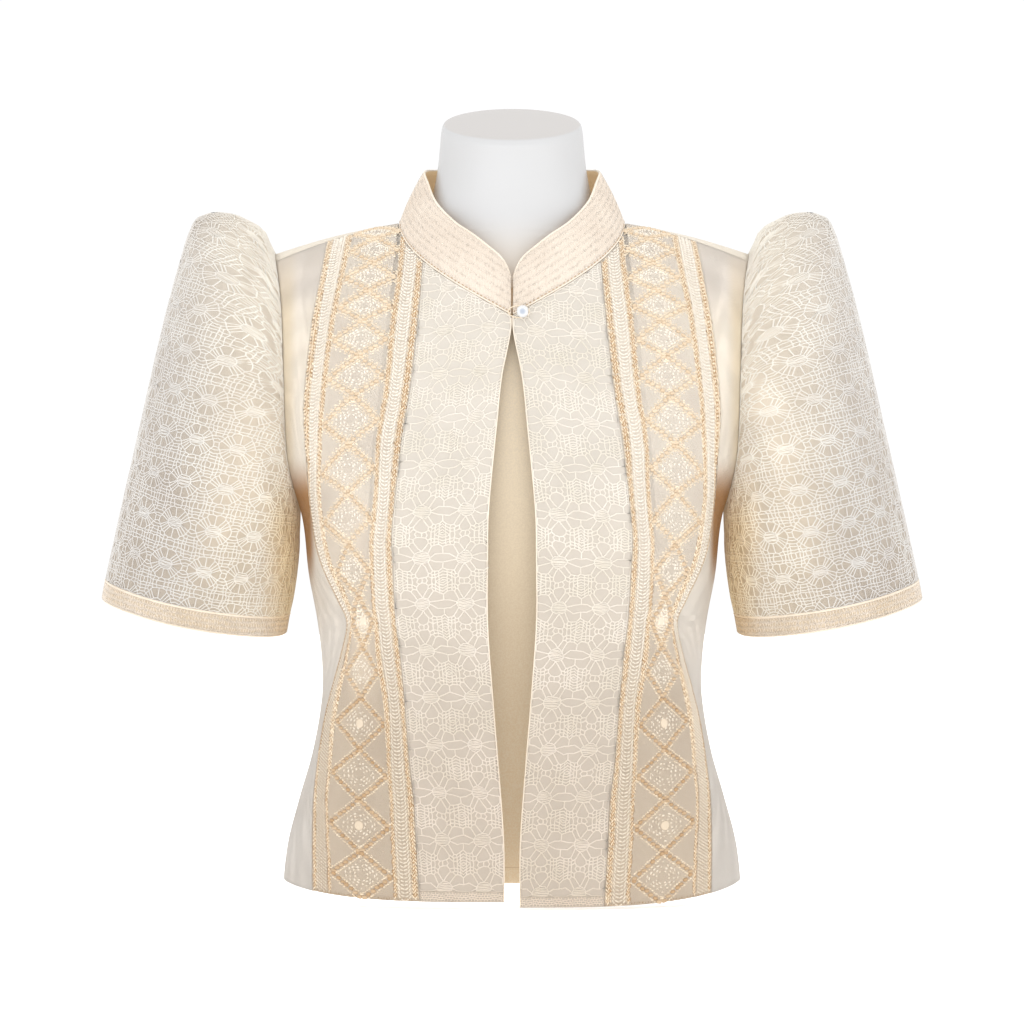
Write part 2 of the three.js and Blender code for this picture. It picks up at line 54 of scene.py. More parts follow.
HALF_SEAM = 0.08
CLOTH_WALL = 1.5
COLLAR_WALL = 1.8
SHEET_COLUMNS = 49
LINE_SAMPLES = 300

Rows = tuple[tuple[float, ...], ...]
Rgb = tuple[int, int, int]
Array = np.ndarray
log = logging.getLogger("barong")


# ---------- curves and soft folds ----------
def follow(rows: Rows, at: Array | float, column: int = 1) -> Array:
    """Reads a column of a table on a smooth curve through its rows.

    Args:
        rows: The table, its first column rising.
        at: Where to read, in the first column's units.
        column: The column to read.

    Returns:
        The values read, in the shape of `at`.
    """
    table = np.array(rows, float)
    keys, values = table[:, 0], table[:, column]
    last = len(keys) - 1
    before = np.maximum(np.arange(last + 1) - 1, 0)
    after = np.minimum(np.arange(last + 1) + 1, last)
    slopes = (values[after] - values[before]) / (keys[after] - keys[before])
    at = np.clip(np.asarray(at, float), keys[0], keys[-1])
    low = np.clip(np.searchsorted(keys, at, side="right") - 1, 0, last - 1)
    step = keys[low + 1] - keys[low]
    t = (at - keys[low]) / step
    t2, t3 = t * t, t * t * t
    return (
        (2 * t3 - 3 * t2 + 1) * values[low] + (t3 - 2 * t2 + t) * step * slopes[low]
        + (3 * t2 - 2 * t3) * values[low + 1] + (t3 - t2) * step * slopes[low + 1]
    )


@dataclass(frozen=True)
class Crease:
    """A soft ridge in the cloth, or a trough where its height is negative."""

    across: float
    up: float
    length: float
    width: float
    lean: float
    height: float

    def at(self, across: Array, up: Array) -> Array:
        """Height of the crease at places on the cloth."""
        lean = math.radians(self.lean)
        along = (up - self.up) * math.cos(lean) + (across - self.across) * math.sin(lean)
        beside = (across - self.across) * math.cos(lean) - (up - self.up) * math.sin(lean)
        return self.height * np.exp(-((along / self.length) ** 2) - (beside / self.width) ** 2)


# ---------- the faces that the cloth lies on ----------
@dataclass(frozen=True)
class BodyCloth:
    """The shape of the blouse's body: one face that the fronts, bands and back share."""

    sections: Rows = (  # height, half width, depth of the front, depth of the back
        (0, 172.5, 104, 98), (40, 168, 102, 97), (75, 159, 100, 94), (110, 149, 97, 90),
        (147, 142.5, 95, 86), (170, 142, 95, 86), (204, 145.5, 98, 89), (240, 152, 104, 94),
        (290, 158.5, 110, 98), (331, 177, 106, 100), (385, 191, 94, 100), (432, 191, 81, 98),
        (470, 191, 75, 96), (505, 191, 73, 96),
    )
    armhole: Rows = (
        (290, 158.5), (313, 163.5), (335, 166.3), (385, 167.8), (432, 170), (460, 173), (481.5, 177),
    )
    fullness: float = 2.4
    armpit_z: float = 290
    chest_z: float = 385
    neck_x: float = 84
    neck_z: float = 504.5
    tip_x: float = 177
    slope: float = 0.15
    drop: float = 0.00105
    yoke_drop: float = 6.5
    front_neck_z: float = 432
    back_neck_z: float = 499
    neck_space: float = 0.4
    root_space: float = 0.02
    bust: Crease = Crease(88, 292, 56, 48, 0, 13)
    front_crown: float = 3.0
    back_crown: float = 5.0
    tip_crown: float = 2.2
    crease_onset: float = 2.5  # how soon creases reach their height, away from the edges
    side_hem: float = 15
    hem_half: float = 172
    front_creases: tuple[Crease, ...] = (
        Crease(151, 300, 46, 5, -9, -1.6), Crease(158, 352, 62, 7, -4, 1.3),
        Crease(149, 236, 40, 6, -14, 1.2), Crease(140, 190, 34, 4, 5, -1.0),
        Crease(151, 96, 48, 5, 13, -1.3), Crease(160, 52, 40, 6, 9, 1.2),
        Crease(153, 430, 44, 5, 3, -0.9), Crease(146, 150, 26, 5, 8, 0.9),
        Crease(118, 250, 36, 9, -12, -1.0), Crease(52, 240, 70, 13, -6, 0.9),
        Crease(34, 120, 60, 9, 3, -1.0), Crease(104, 120, 52, 10, 8, -0.9),
    )
    back_creases: tuple[Crease, ...] = (
        Crease(12, 205, 66, 9, 3, -2.2), Crease(46, 190, 58, 8, -6, 1.9),
        Crease(78, 212, 50, 7, -11, -1.7), Crease(-34, 198, 60, 8, 6, 1.8),
        Crease(-70, 206, 54, 8, 12, -2.0), Crease(104, 186, 44, 7, -14, 1.5),
        Crease(-102, 190, 48, 7, 15, 1.6), Crease(130, 250, 42, 6, -24, -1.4),
        Crease(-132, 262, 46, 7, 26, -1.5), Crease(30, 60, 60, 12, 4, 1.6),
        Crease(-52, 48, 52, 11, -7, -1.5), Crease(96, 54, 46, 10, 9, -1.4),
        Crease(-110, 66, 44, 10, -10, 1.5), Crease(60, 400, 60, 10, 38, 1.1),
        Crease(-64, 392, 56, 10, -40, -1.1),
    )

    def shoulder_z(self, x: Array) -> Array:
        """Height of the shoulder line at distances from the centre."""
        out = x - self.neck_x
        return self.neck_z - self.slope * out - self.drop * out * out

    def side_x(self, z: Array) -> Array:
        """How far out the cloth goes: to the side seam, then to the armhole."""
        return np.where(z <= self.armpit_z, follow(self.sections, z), follow(self.armhole, z))

    def depth(self, x: Array, z: Array, back: Array | bool) -> Array:
        """Depth of the cloth, negative at the front, with its creases.

        Args:
            x: Distances from the centre, signed.
            z: Heights.
            back: Whether each place is on the back.

        Returns:
            The places' Y.
        """
        wide = np.abs(x)
        share = np.minimum(wide / follow(self.sections, z), 1)
        section = (1 - share**self.fullness) ** (1 / self.fullness)
        up = np.clip((z - self.chest_z) / (self.shoulder_z(wide) - self.chest_z), 0, 1)
        tip = np.minimum(wide / self.tip_x, 1)
        centre_power = np.where(back, self.back_crown, self.front_crown)
        crown = np.sqrt(1 - up ** (centre_power + (self.tip_crown - centre_power) * tip))
        rounded = crown * section
        bust = self.bust.at(wide, z)
        front_y = -(follow(self.sections, z, 2) + bust) * rounded
        back_y = follow(self.sections, z, 3) * rounded
        settle = np.minimum(rounded * self.crease_onset, 1)
        front_fold = sum(crease.at(wide, z) for crease in self.front_creases) * settle
        back_fold = sum(crease.at(x, z) for crease in self.back_creases) * settle
        return np.where(back, back_y + back_fold, front_y - front_fold)

    def neckline_z(self, x: Array, back: bool) -> Array:
        """Height of the neckline, at the front or at the back."""
        share = np.minimum(x / self.neck_x, 1)
        if back:
            rise = np.sqrt(1 - share * share)
            return self.neck_z + (self.back_neck_z - self.neck_z) * rise
        return self.front_neck_z + (self.neck_z - self.front_neck_z) * np.arcsin(share) / (math.pi / 2)

    def top_root(self, x: Array, back: bool) -> Array:
        """Square root of the drop at which the cloth ends, below the shoulder line.

        It is negative where the back wraps over the shoulder, down to the yoke seam.
        """
        cut_x = self.neck_x + self.neck_space
        yoke = np.sqrt(self.yoke_drop * np.maximum(x - cut_x, 0) / (self.tip_x - cut_x))
        inside = np.minimum(x, cut_x)
        cut_z = self.neckline_z(inside * self.neck_x / cut_x, back)
        cut_z = cut_z - self.neck_space * (1 - inside / cut_x)
        neck = np.sqrt(np.maximum(self.shoulder_z(x) - cut_z, 0)) + self.root_space
        return np.where(x >= cut_x, self.root_space + (-yoke if back else yoke), neck)

    def hem_z(self, x: Array, centre: float) -> Array:
        """Height of the hem, which rises to the side seam."""
        return centre + (self.side_hem - centre) * (x / self.hem_half) ** 4

    def settle(self, share: Array, across: Callable, height_at: Callable) -> tuple[Array, Array]:
        """Finds places whose distance out and height depend on each other."""
        z = np.full(np.shape(share), self.chest_z)
        x = across(share, z)
        for _ in range(24):
            x = (x + across(share, z)) / 2
            z = height_at(x)
        return x, z

    def lines(self, across: Callable, centre_hem: float, side: int, back: bool = False) -> Array:
        """Lines up the cloth from the hem to its top edge.

        Args:
            across: Distance out at a share of the width and a height.
            centre_hem: Height of the hem at the centre.
            side: 1 on the wearer's left and -1 on the right, or 0 for both at once.
            back: Whether the piece is the back.

        Returns:
            Points by column, sample and axis.
        """
        shares = np.linspace(-1 if side == 0 else 0, 1, SHEET_COLUMNS * (2 if side == 0 else 1))
        sides = np.sign(shares) if side == 0 else np.full(len(shares), side)
        shares = np.abs(shares)
        start_x, start_z = self.settle(shares, across, lambda x: self.hem_z(x, centre_hem))
        end_x, _ = self.settle(
            shares, across, lambda x: self.shoulder_z(x) - self.top_root(x, back) ** 2)
        start = np.sqrt(self.shoulder_z(start_x) - start_z)[:, None]
        end = self.top_root(end_x, back)[:, None]
        root = start + (end - start) * np.linspace(0, 1, LINE_SAMPLES)
        x, z = self.settle(shares[:, None], across, lambda at: self.shoulder_z(at) - root**2)
        signed = x * sides[:, None]
        behind = root > 0 if back else np.full(root.shape, False)
        clear = HALF_SEAM * (np.clip(root, -1, 1) if back else -1)
        y = self.depth(signed, z, behind) + clear + MIDDLE_Y
        return np.stack([signed, y, z], axis=-1)


@dataclass(frozen=True)
class SleeveCloth:
    """The shape of a butterfly sleeve: rings laid through four lines down its length."""

    body: BodyCloth
    over: Rows = (  # share of the length, distance out, height
        (0, 177, 481.5), (0.05, 181.5, 490), (0.1, 186, 499), (0.17, 196, 505.5), (0.25, 209, 511),
        (0.32, 223.5, 512.3), (0.38, 236, 508), (0.43, 242.5, 496), (0.48, 247.5, 480),
        (0.56, 256.5, 448), (0.66, 266.5, 407), (0.78, 279, 351), (0.88, 291.5, 296),
        (0.94, 304.3, 238), (1, 307, 224),
    )
    under: Rows = (
        (0, 158.5, 290), (0.3, 160, 272), (0.6, 161, 250), (0.85, 164, 226), (0.94, 167, 212),
        (1, 169.5, 198),
    )
    front: Rows = (  # share of the length, distance out, depth, height
        (0, 167.8, -54, 385), (0.1, 174, -67, 383), (0.2, 182, -76, 377), (0.3, 190, -82, 366),
        (0.45, 202, -87, 338), (0.6, 213, -88, 305), (0.75, 223, -86, 270), (0.88, 231.5, -81, 236),
        (0.94, 236, -78.5, 217.5), (1, 238, -77, 203.5),
    )
    back: Rows = (
        (0, 167.8, 56, 385), (0.2, 181, 74, 378), (0.45, 201, 85, 340), (0.75, 222, 85, 272),
        (0.94, 236, 78, 220), (1, 238, 76, 206),
    )
    start: float = 0.6
    settled: float = 0.2
    hem_share: float = 0.94
    hem_space: float = 0.001
    pinch: float = 0.22
    creases: tuple[Crease, ...] = (  # by turn in degrees and by length in hundredths
        Crease(62, 58, 26, 8, -6, 1.6), Crease(112, 66, 24, 7, 5, -1.5), Crease(84, 34, 18, 6, -9, -1.1),
        Crease(136, 44, 22, 8, 8, 1.4), Crease(242, 60, 26, 9, 5, 1.7), Crease(290, 52, 24, 8, -7, -1.6),
        Crease(214, 40, 20, 8, -8, -1.3), Crease(318, 70, 20, 8, 6, 1.2),
    )

    def armhole(self, turn: Array) -> Array:
        """Points of the armhole's edge, by the angle from the shoulder tip, the front first."""
        middle = (self.body.shoulder_z(self.body.tip_x) + self.body.armpit_z) / 2
        z = middle + (middle - self.body.armpit_z) * np.cos(turn)
        x = self.body.side_x(z)
        return np.stack([x + self.start, self.body.depth(x, z, np.sin(turn) < 0), z], axis=-1)

    def ring(self, turn: Array, t: Array) -> Array:
        """Points of the rings laid through the four lines."""
        zero = np.zeros_like(t)
        over = np.stack([follow(self.over, t), zero, follow(self.over, t, 2)], axis=-1)
        under = np.stack([follow(self.under, t), zero, follow(self.under, t, 2)], axis=-1)
        flanks = [np.stack([follow(rows, t, k) for k in (1, 2, 3)], axis=-1)
                  for rows in (self.front, self.back)]
        flank = np.where((np.sin(turn) >= 0)[..., None], flanks[0], flanks[1])
        centre = (over + under) / 2
        swell = np.abs(np.sin(turn)) * (1 - self.pinch * np.maximum(np.cos(turn), 0) ** 2)
        fold = sum(c.at(np.degrees(turn), t * 100) for c in self.creases) * (t < 1.01)
        swell = swell * (1 + fold / 90 * np.clip(t * 4, 0, 1))
        return centre + (over - centre) * np.cos(turn)[..., None] + (flank - centre) * swell[..., None]

    def lines(self, side: int, low: float, high: float, columns: int) -> Array:
        """Lines up the sleeve from one share of its length to another, all the way round."""
        turn, t = np.meshgrid(np.linspace(2 * math.pi, 0, columns), np.linspace(low, high, LINE_SAMPLES),
                              indexing="ij")
        settle = (np.maximum(1 - t / self.settled, 0) ** 2)[..., None]
        here = self.ring(turn, t) + (self.armhole(turn) - self.ring(turn, np.zeros_like(t))) * settle
        least = self.under[0][1] + self.start
        here[..., 0] = np.where(settle[..., 0] < 1, np.maximum(here[..., 0], least), here[..., 0])
        here[..., 0] *= side
        here[..., 1] += MIDDLE_Y
        return here


@dataclass(frozen=True)
class CollarCloth:
    """The shape of the stand collar, from the neckline to its wing-fronted top edge."""

    body: BodyCloth
    top: Rows = (  # angle from the centre front, distance out, height
        (0, 0.6, 459), (1.8, 2, 464), (4.3, 4.9, 470.6), (8.5, 9.7, 476.5), (14.7, 16.6, 482.3),
        (25.6, 28.3, 491.7), (40.5, 42.5, 502), (60, 56.6, 518), (76, 63.2, 534), (90, 66, 543),
        (120, 58, 547), (150, 34, 549), (180, 0, 550),
    )
    swell: float = 1.4
    front_depth: float = 68
    back_depth: float = 61
    space: float = 0.45
    centre_edge: float = 0.6

    def place(self, angle: Array, rise: Array) -> Array:
        """Points on the wearer's left, from the neckline at 0 to the top edge at 1."""
        neck_x = self.body.neck_x
        turn = np.radians(angle)
        front = angle <= 90
        x = np.abs(neck_x * np.sin(turn))
        z = np.where(front, self.body.neckline_z(x, False), self.body.neckline_z(x, True))
        y = self.body.depth(x, z, ~front)
        x = np.maximum(x + self.centre_edge * (1 - x / neck_x) * (angle < 90), 0)
        base = np.stack([x, y, z], axis=-1)
        deep = np.where(front, self.front_depth, self.back_depth)
        top = np.stack([follow(self.top, angle), -deep * np.cos(turn), follow(self.top, angle, 2)], axis=-1)
        lift = top - base
        base = base + lift / np.linalg.norm(lift, axis=-1, keepdims=True) * self.space
        here = base + (top - base) * rise[..., None]
        swell = 1 + self.swell * 4 * rise * (1 - rise) / np.hypot(here[..., 0], here[..., 1])
        here[..., :2] *= swell[..., None]
        return here

    def lines(self, columns: int) -> Array:
        """Lines up the collar, evenly spaced from the left front edge round to the right."""
        angle = np.linspace(0, 360, 1441)
        half = np.where(angle <= 180, angle, 360 - angle)
        sides = np.where(angle <= 180, 1.0, -1.0)
        middle = self.place(half, np.full(len(half), 0.5))
        middle[:, 0] *= sides
        run = np.concatenate([[0], np.cumsum(np.linalg.norm(np.diff(middle, axis=0), axis=1))])
        even = np.interp(np.linspace(0, run[-1], columns), run, angle)
        half = np.where(even <= 180, even, 360 - even)
        angles, rises = np.meshgrid(half, np.linspace(0, 1, 60), indexing="ij")
        here = self.place(angles, rises)
        here[..., 0] *= np.where(even <= 180, 1.0, -1.0)[:, None]
        here[..., 1] += MIDDLE_Y
        return here


# ---------- working flat and wrapping ----------
def deselect() -> None:
    """Leaves edit mode and deselects every object."""
    if bpy.context.object and bpy.context.object.mode != "OBJECT":
        leave_edit()
    bpy.ops.object.select_all(action="DESELECT")


def leave_edit() -> None:
    """Goes back to object mode."""
    bpy.ops.object.mode_set(mode="OBJECT")


def place_in_scene(thing: bpy.types.Object) -> bpy.types.Object:
    """Puts a new object into the scene."""
    bpy.context.scene.collection.objects.link(thing)
    return thing


def all_faces(piece: bpy.types.Object) -> Array:
    """A choice of every face of a piece."""
    return np.ones(len(piece.data.polygons), bool)


def take_up(piece: bpy.types.Object) -> bpy.types.Object:
    """Makes a piece the only one selected."""
    deselect()
    piece.select_set(True)
    bpy.context.view_layer.objects.active = piece
    return piece


def flat_piece(name: str, points: list, faces: list) -> bpy.types.Object:
    """A new piece from its points and faces."""
    mesh = bpy.data.meshes.new(name)
    mesh.from_pydata(points, [], faces)
    piece = bpy.data.objects.new(name, mesh)
    return take_up(place_in_scene(piece))


def points_of(piece: bpy.types.Object) -> Array:
    """A mesh's points."""
    flat = np.empty(len(piece.data.vertices) * 3)
    piece.data.vertices.foreach_get("co", flat)
    return flat.reshape(-1, 3)


def set_points(piece: bpy.types.Object, points: Array) -> None:
    """Moves a mesh's points."""
    piece.data.vertices.foreach_set("co", np.ascontiguousarray(points, float).ravel())
    piece.data.update()


def edges_of(piece: bpy.types.Object) -> Array:
    """The two vertices of each edge."""
    flat = np.empty(len(piece.data.edges) * 2, np.int64)
    piece.data.edges.foreach_get("vertices", flat)
    return flat.reshape(-1, 2)


def select_only(piece: bpy.types.Object, kind: str, chosen: Array) -> None:
    """Selects just the chosen vertices, edges or faces of a piece and enters edit mode.

    Args:
        piece: The piece to edit.
        kind: VERT, EDGE or FACE.
        chosen: Whether each of them is chosen.
    """
    take_up(piece)
    bpy.ops.object.mode_set(mode="EDIT")
    bpy.ops.mesh.select_mode(type=kind)
    bpy.ops.mesh.select_all(action="DESELECT")
    leave_edit()
    group = {"VERT": piece.data.vertices, "EDGE": piece.data.edges, "FACE": piece.data.polygons}[kind]
    group.foreach_set("select", np.asarray(chosen, bool))
    bpy.ops.object.mode_set(mode="EDIT")


def merge_close(piece: bpy.types.Object, within: float) -> None:
    """Joins the vertices that lie this near each other."""
    select_only(piece, "VERT", np.ones(len(piece.data.vertices), bool))
    bpy.ops.mesh.remove_doubles(threshold=within)
    leave_edit()


def apply_modifier(piece: bpy.types.Object, kind: str, **settings: object) -> None:
    """Adds a modifier with its settings and applies it."""
    take_up(piece)
    modifier = piece.modifiers.new(kind.lower(), kind)
    for key, value in settings.items():
        setattr(modifier, key, value)
    bpy.ops.object.modifier_apply(modifier=modifier.name)


class Patch:
    """A piece of the cloth's face that can be worked flat: millimetres across and up."""

    STEP = 2.0

    def __init__(self, lines: Array, width: float, axis: tuple[float, float] = (0.0, 0.0),
                 ring: bool = False) -> None:
        """Opens out a stretch of cloth.

        Args:
            lines: Lines up the cloth, evenly spaced across it.
            width: Width of the flat sheet.
            axis: X and Y of the upright line that the cloth goes round.
            ring: Whether the last line is the first one again.
        """
        run = np.cumsum(np.linalg.norm(np.diff(lines, axis=1), axis=2), axis=1)
        run = np.concatenate([np.zeros((len(lines), 1)), run], axis=1)
        self.width, self.ring, self.tops = width, ring, run[:, -1]
        self.columns = len(lines)
        levels = np.arange(int(self.tops.max() / self.STEP) + 4) * self.STEP
        self.grid = np.empty((self.columns, len(levels), 3))
        for column, line in enumerate(lines):
            for k in range(3):
                self.grid[column, :, k] = np.interp(levels, run[column], line[:, k])
            end = line[-1] - line[-4]
            over = np.maximum(levels - self.tops[column], 0)[:, None]
            self.grid[column] += over * end / np.linalg.norm(end)
        across = np.gradient(self.grid, axis=0)
        if ring:
            across[0] = across[-1] = (self.grid[1] - self.grid[-2]) / 2
        normal = np.cross(across, np.gradient(self.grid, axis=1))
        normal /= np.maximum(np.linalg.norm(normal, axis=2, keepdims=True), 1e-9)
        away = self.grid - [axis[0], axis[1] + MIDDLE_Y, 0]
        away[..., 2] = 0
        self.flipped = float((normal * away).sum()) < 0
        self.normal = -normal if self.flipped else normal
        widths = np.linalg.norm(np.diff(self.grid, axis=0), axis=2).sum(axis=0)
        self.levels, self.widths = levels, widths

    def at(self, across: Array, up: Array, lift: Array | float = 0.0) -> Array:
        """Where places on the flat sheet lie on the garment, in metres."""
        u = np.asarray(across, float) / self.width * (self.columns - 1)
        u = u % (self.columns - 1) if self.ring else u
        v = np.asarray(up, float) / self.STEP
        i = np.clip(np.floor(u).astype(int), 0, self.columns - 2)
        j = np.clip(np.floor(v).astype(int), 0, len(self.levels) - 2)
        fu, fv = (u - i)[..., None], (v - j)[..., None]

        def read(field: Array) -> Array:
            """Reads a field between its four nearest places."""
            low = field[i, j] * (1 - fu) + field[i + 1, j] * fu
            high = field[i, j + 1] * (1 - fu) + field[i + 1, j + 1] * fu
            return low * (1 - fv) + high * fv

        return (read(self.grid) + read(self.normal) * np.asarray(lift)[..., None]) * MM

    def top(self, across: Array) -> Array:
        """How far up the sheet goes at places across it."""
        u = np.asarray(across, float) / self.width * (self.columns - 1)
        u = u % (self.columns - 1) if self.ring else u
        return np.interp(u, np.arange(self.columns), self.tops)

    def span(self, up: Array) -> Array:
        """True width of the cloth at places up the sheet."""
        return np.interp(up, self.levels, self.widths)

    def up_at(self, z: Array) -> Array:
        """How far up the sheet a height lies, at the middle of its width."""
        return np.interp(z, self.grid[self.columns // 2, :, 2], self.levels)

    def height_at(self, up: Array) -> Array:
        """Height of places up the middle of the sheet."""
        return np.interp(up, self.levels, self.grid[self.columns // 2, :, 2])

    def wrap(self, piece: bpy.types.Object) -> None:
        """Lays a flat piece on the cloth and keeps its flat places as its UV map, in metres."""
        flat = points_of(piece)
        set_points(piece, self.at(flat[:, 0], flat[:, 1], flat[:, 2]))
        corners = np.empty(len(piece.data.loops), np.int64)
        piece.data.loops.foreach_get("vertex_index", corners)
        layer = piece.data.uv_layers.new(name="UVMap")
        layer.data.foreach_set("uv", (flat[corners, :2] * MM).ravel())
        if self.flipped:
            piece.data.flip_normals()

    def shell(self, name: str, wall: float, columns: int, rows: int) -> bpy.types.Object:
        """The cloth itself: a thin closed shell inside the face.

        Args:
            name: The piece's name.
            wall: Its thickness.
            columns: Faces across it.
            rows: Faces up it.

        Returns:
            The shell.
        """
        deselect()
        bpy.ops.mesh.primitive_grid_add(x_subdivisions=columns, y_subdivisions=rows, size=1)
        piece = bpy.context.object
        piece.name = piece.data.name = name
        unit = points_of(piece) + [0.5, 0.5, 0]
        across = unit[:, 0] * self.width
        set_points(piece, np.stack([across, unit[:, 1] * self.top(across), 0 * across], axis=1))
        self.wrap(piece)
        if self.ring:
            merge_close(piece, 1e-5)
        self.area = sum(face.area for face in piece.data.polygons)
        apply_modifier(piece, "SOLIDIFY", thickness=wall * MM, offset=-1.0)
        piece.data.shade_smooth()
        return piece


# ---------- finishes ----------
def linear(colour: Rgb) -> tuple[float, float, float, float]:
    """A colour of 0 to 255 as the light it gives back."""
    shares = [value / 255 for value in colour]
    return (*(s / 12.92 if s <= 0.04045 else ((s + 0.055) / 1.055) ** 2.4 for s in shares), 1.0)


class Nodes:
    """Builds a material's node tree with short calls."""

    RELIEF = 0.001  # depth in metres that a relief of 1 stands for
    WAVE = 0.314  # scale of a wave whose bands lie one unit apart

    def __init__(self, name: str) -> None:
        """Starts a material with its shader and output."""
        self.material = bpy.data.materials.new(name)
        self.material.use_nodes = True
        self.tree = self.material.node_tree
        self.shader = next(n for n in self.tree.nodes if n.type == "BSDF_PRINCIPLED")

    def add(self, kind: str, values: dict | None = None, **settings: object) -> bpy.types.Node:
        """Adds a node with its settings and the values of its sockets."""
        node = self.tree.nodes.new(kind)
        for key, value in settings.items():
            setattr(node, key, value)
        for key, value in (values or {}).items():
            node.inputs[key].default_value = value
        return node

    def texture(self, kind: str, vector: bpy.types.NodeSocket, values: dict, **settings: object
                ) -> bpy.types.Node:
        """Adds a texture that is read at a place."""
        node = self.add(kind, values, **settings)
        self.join(vector, node.inputs["Vector"])
        return node

    def shade(self, **values: object) -> None:
        """Sets the shader's own values, an underscore standing for each space."""
        for name, value in values.items():
            self.shader.inputs[name.replace("_", " ")].default_value = value

    def join(self, source: bpy.types.NodeSocket, target: bpy.types.NodeSocket) -> None:
        """Links two sockets."""
        self.tree.links.new(source, target)

    def blend(self, share: bpy.types.NodeSocket | None, low: object, high: object,
              mode: str = "MIX", amount: float = 1.0) -> bpy.types.NodeSocket:
        """Mixes two colours, each a socket or a value."""
        node = self.add("ShaderNodeMix", data_type="RGBA", blend_type=mode)
        node.inputs[0].default_value = amount
        if share is not None:
            self.join(share, node.inputs[0])
        for socket, colour in ((node.inputs[6], low), (node.inputs[7], high)):
            if isinstance(colour, bpy.types.NodeSocket):
                self.join(colour, socket)
            else:
                socket.default_value = colour
        return node.outputs[2]

    def sums(self, operation: str, first: object, second: object) -> bpy.types.NodeSocket:
        """Does one sum on two numbers, each a socket or a value."""
        node = self.add("ShaderNodeMath", operation=operation)
        for socket, value in zip(node.inputs, (first, second)):
            if isinstance(value, bpy.types.NodeSocket):
                self.join(value, socket)
            else:
                socket.default_value = value
        return node.outputs[0]

    def ramp(self, source: bpy.types.NodeSocket, low: float, high: float) -> bpy.types.NodeSocket:
        """Stretches a number so that low reads 0 and high reads 1, smoothly."""
        node = self.add("ShaderNodeMapRange", {1: low, 2: high}, interpolation_type="SMOOTHSTEP")
        self.join(source, node.inputs[0])
        return node.outputs[0]

    def bump(self, height: bpy.types.NodeSocket, distance: float, strength: float = 1.0) -> None:
        """Gives the shader a relief."""
        node = self.add("ShaderNodeBump", {"Strength": strength, "Distance": distance})
        self.join(height, node.inputs["Height"])
        self.join(node.outputs["Normal"], self.shader.inputs["Normal"])


@dataclass(frozen=True)
class Tint:
    """A colour multiplied in over part of a cloth: how far out it fades in, and how high."""

    colour: Rgb
    out: tuple[float, float]
    low: tuple[float, float]
    high: tuple[float, float]

    def lay(self, nodes: Nodes, out: bpy.types.NodeSocket, height: bpy.types.NodeSocket,
            colour: bpy.types.NodeSocket) -> bpy.types.NodeSocket:
        """Lays the tint over a colour."""
        share = nodes.sums("MULTIPLY", nodes.ramp(out, *self.out), nodes.ramp(height, *self.low))
        share = nodes.sums("MULTIPLY", share, nodes.ramp(height, *self.high))
        return nodes.blend(share, colour, linear(self.colour), "MULTIPLY", 0.0)


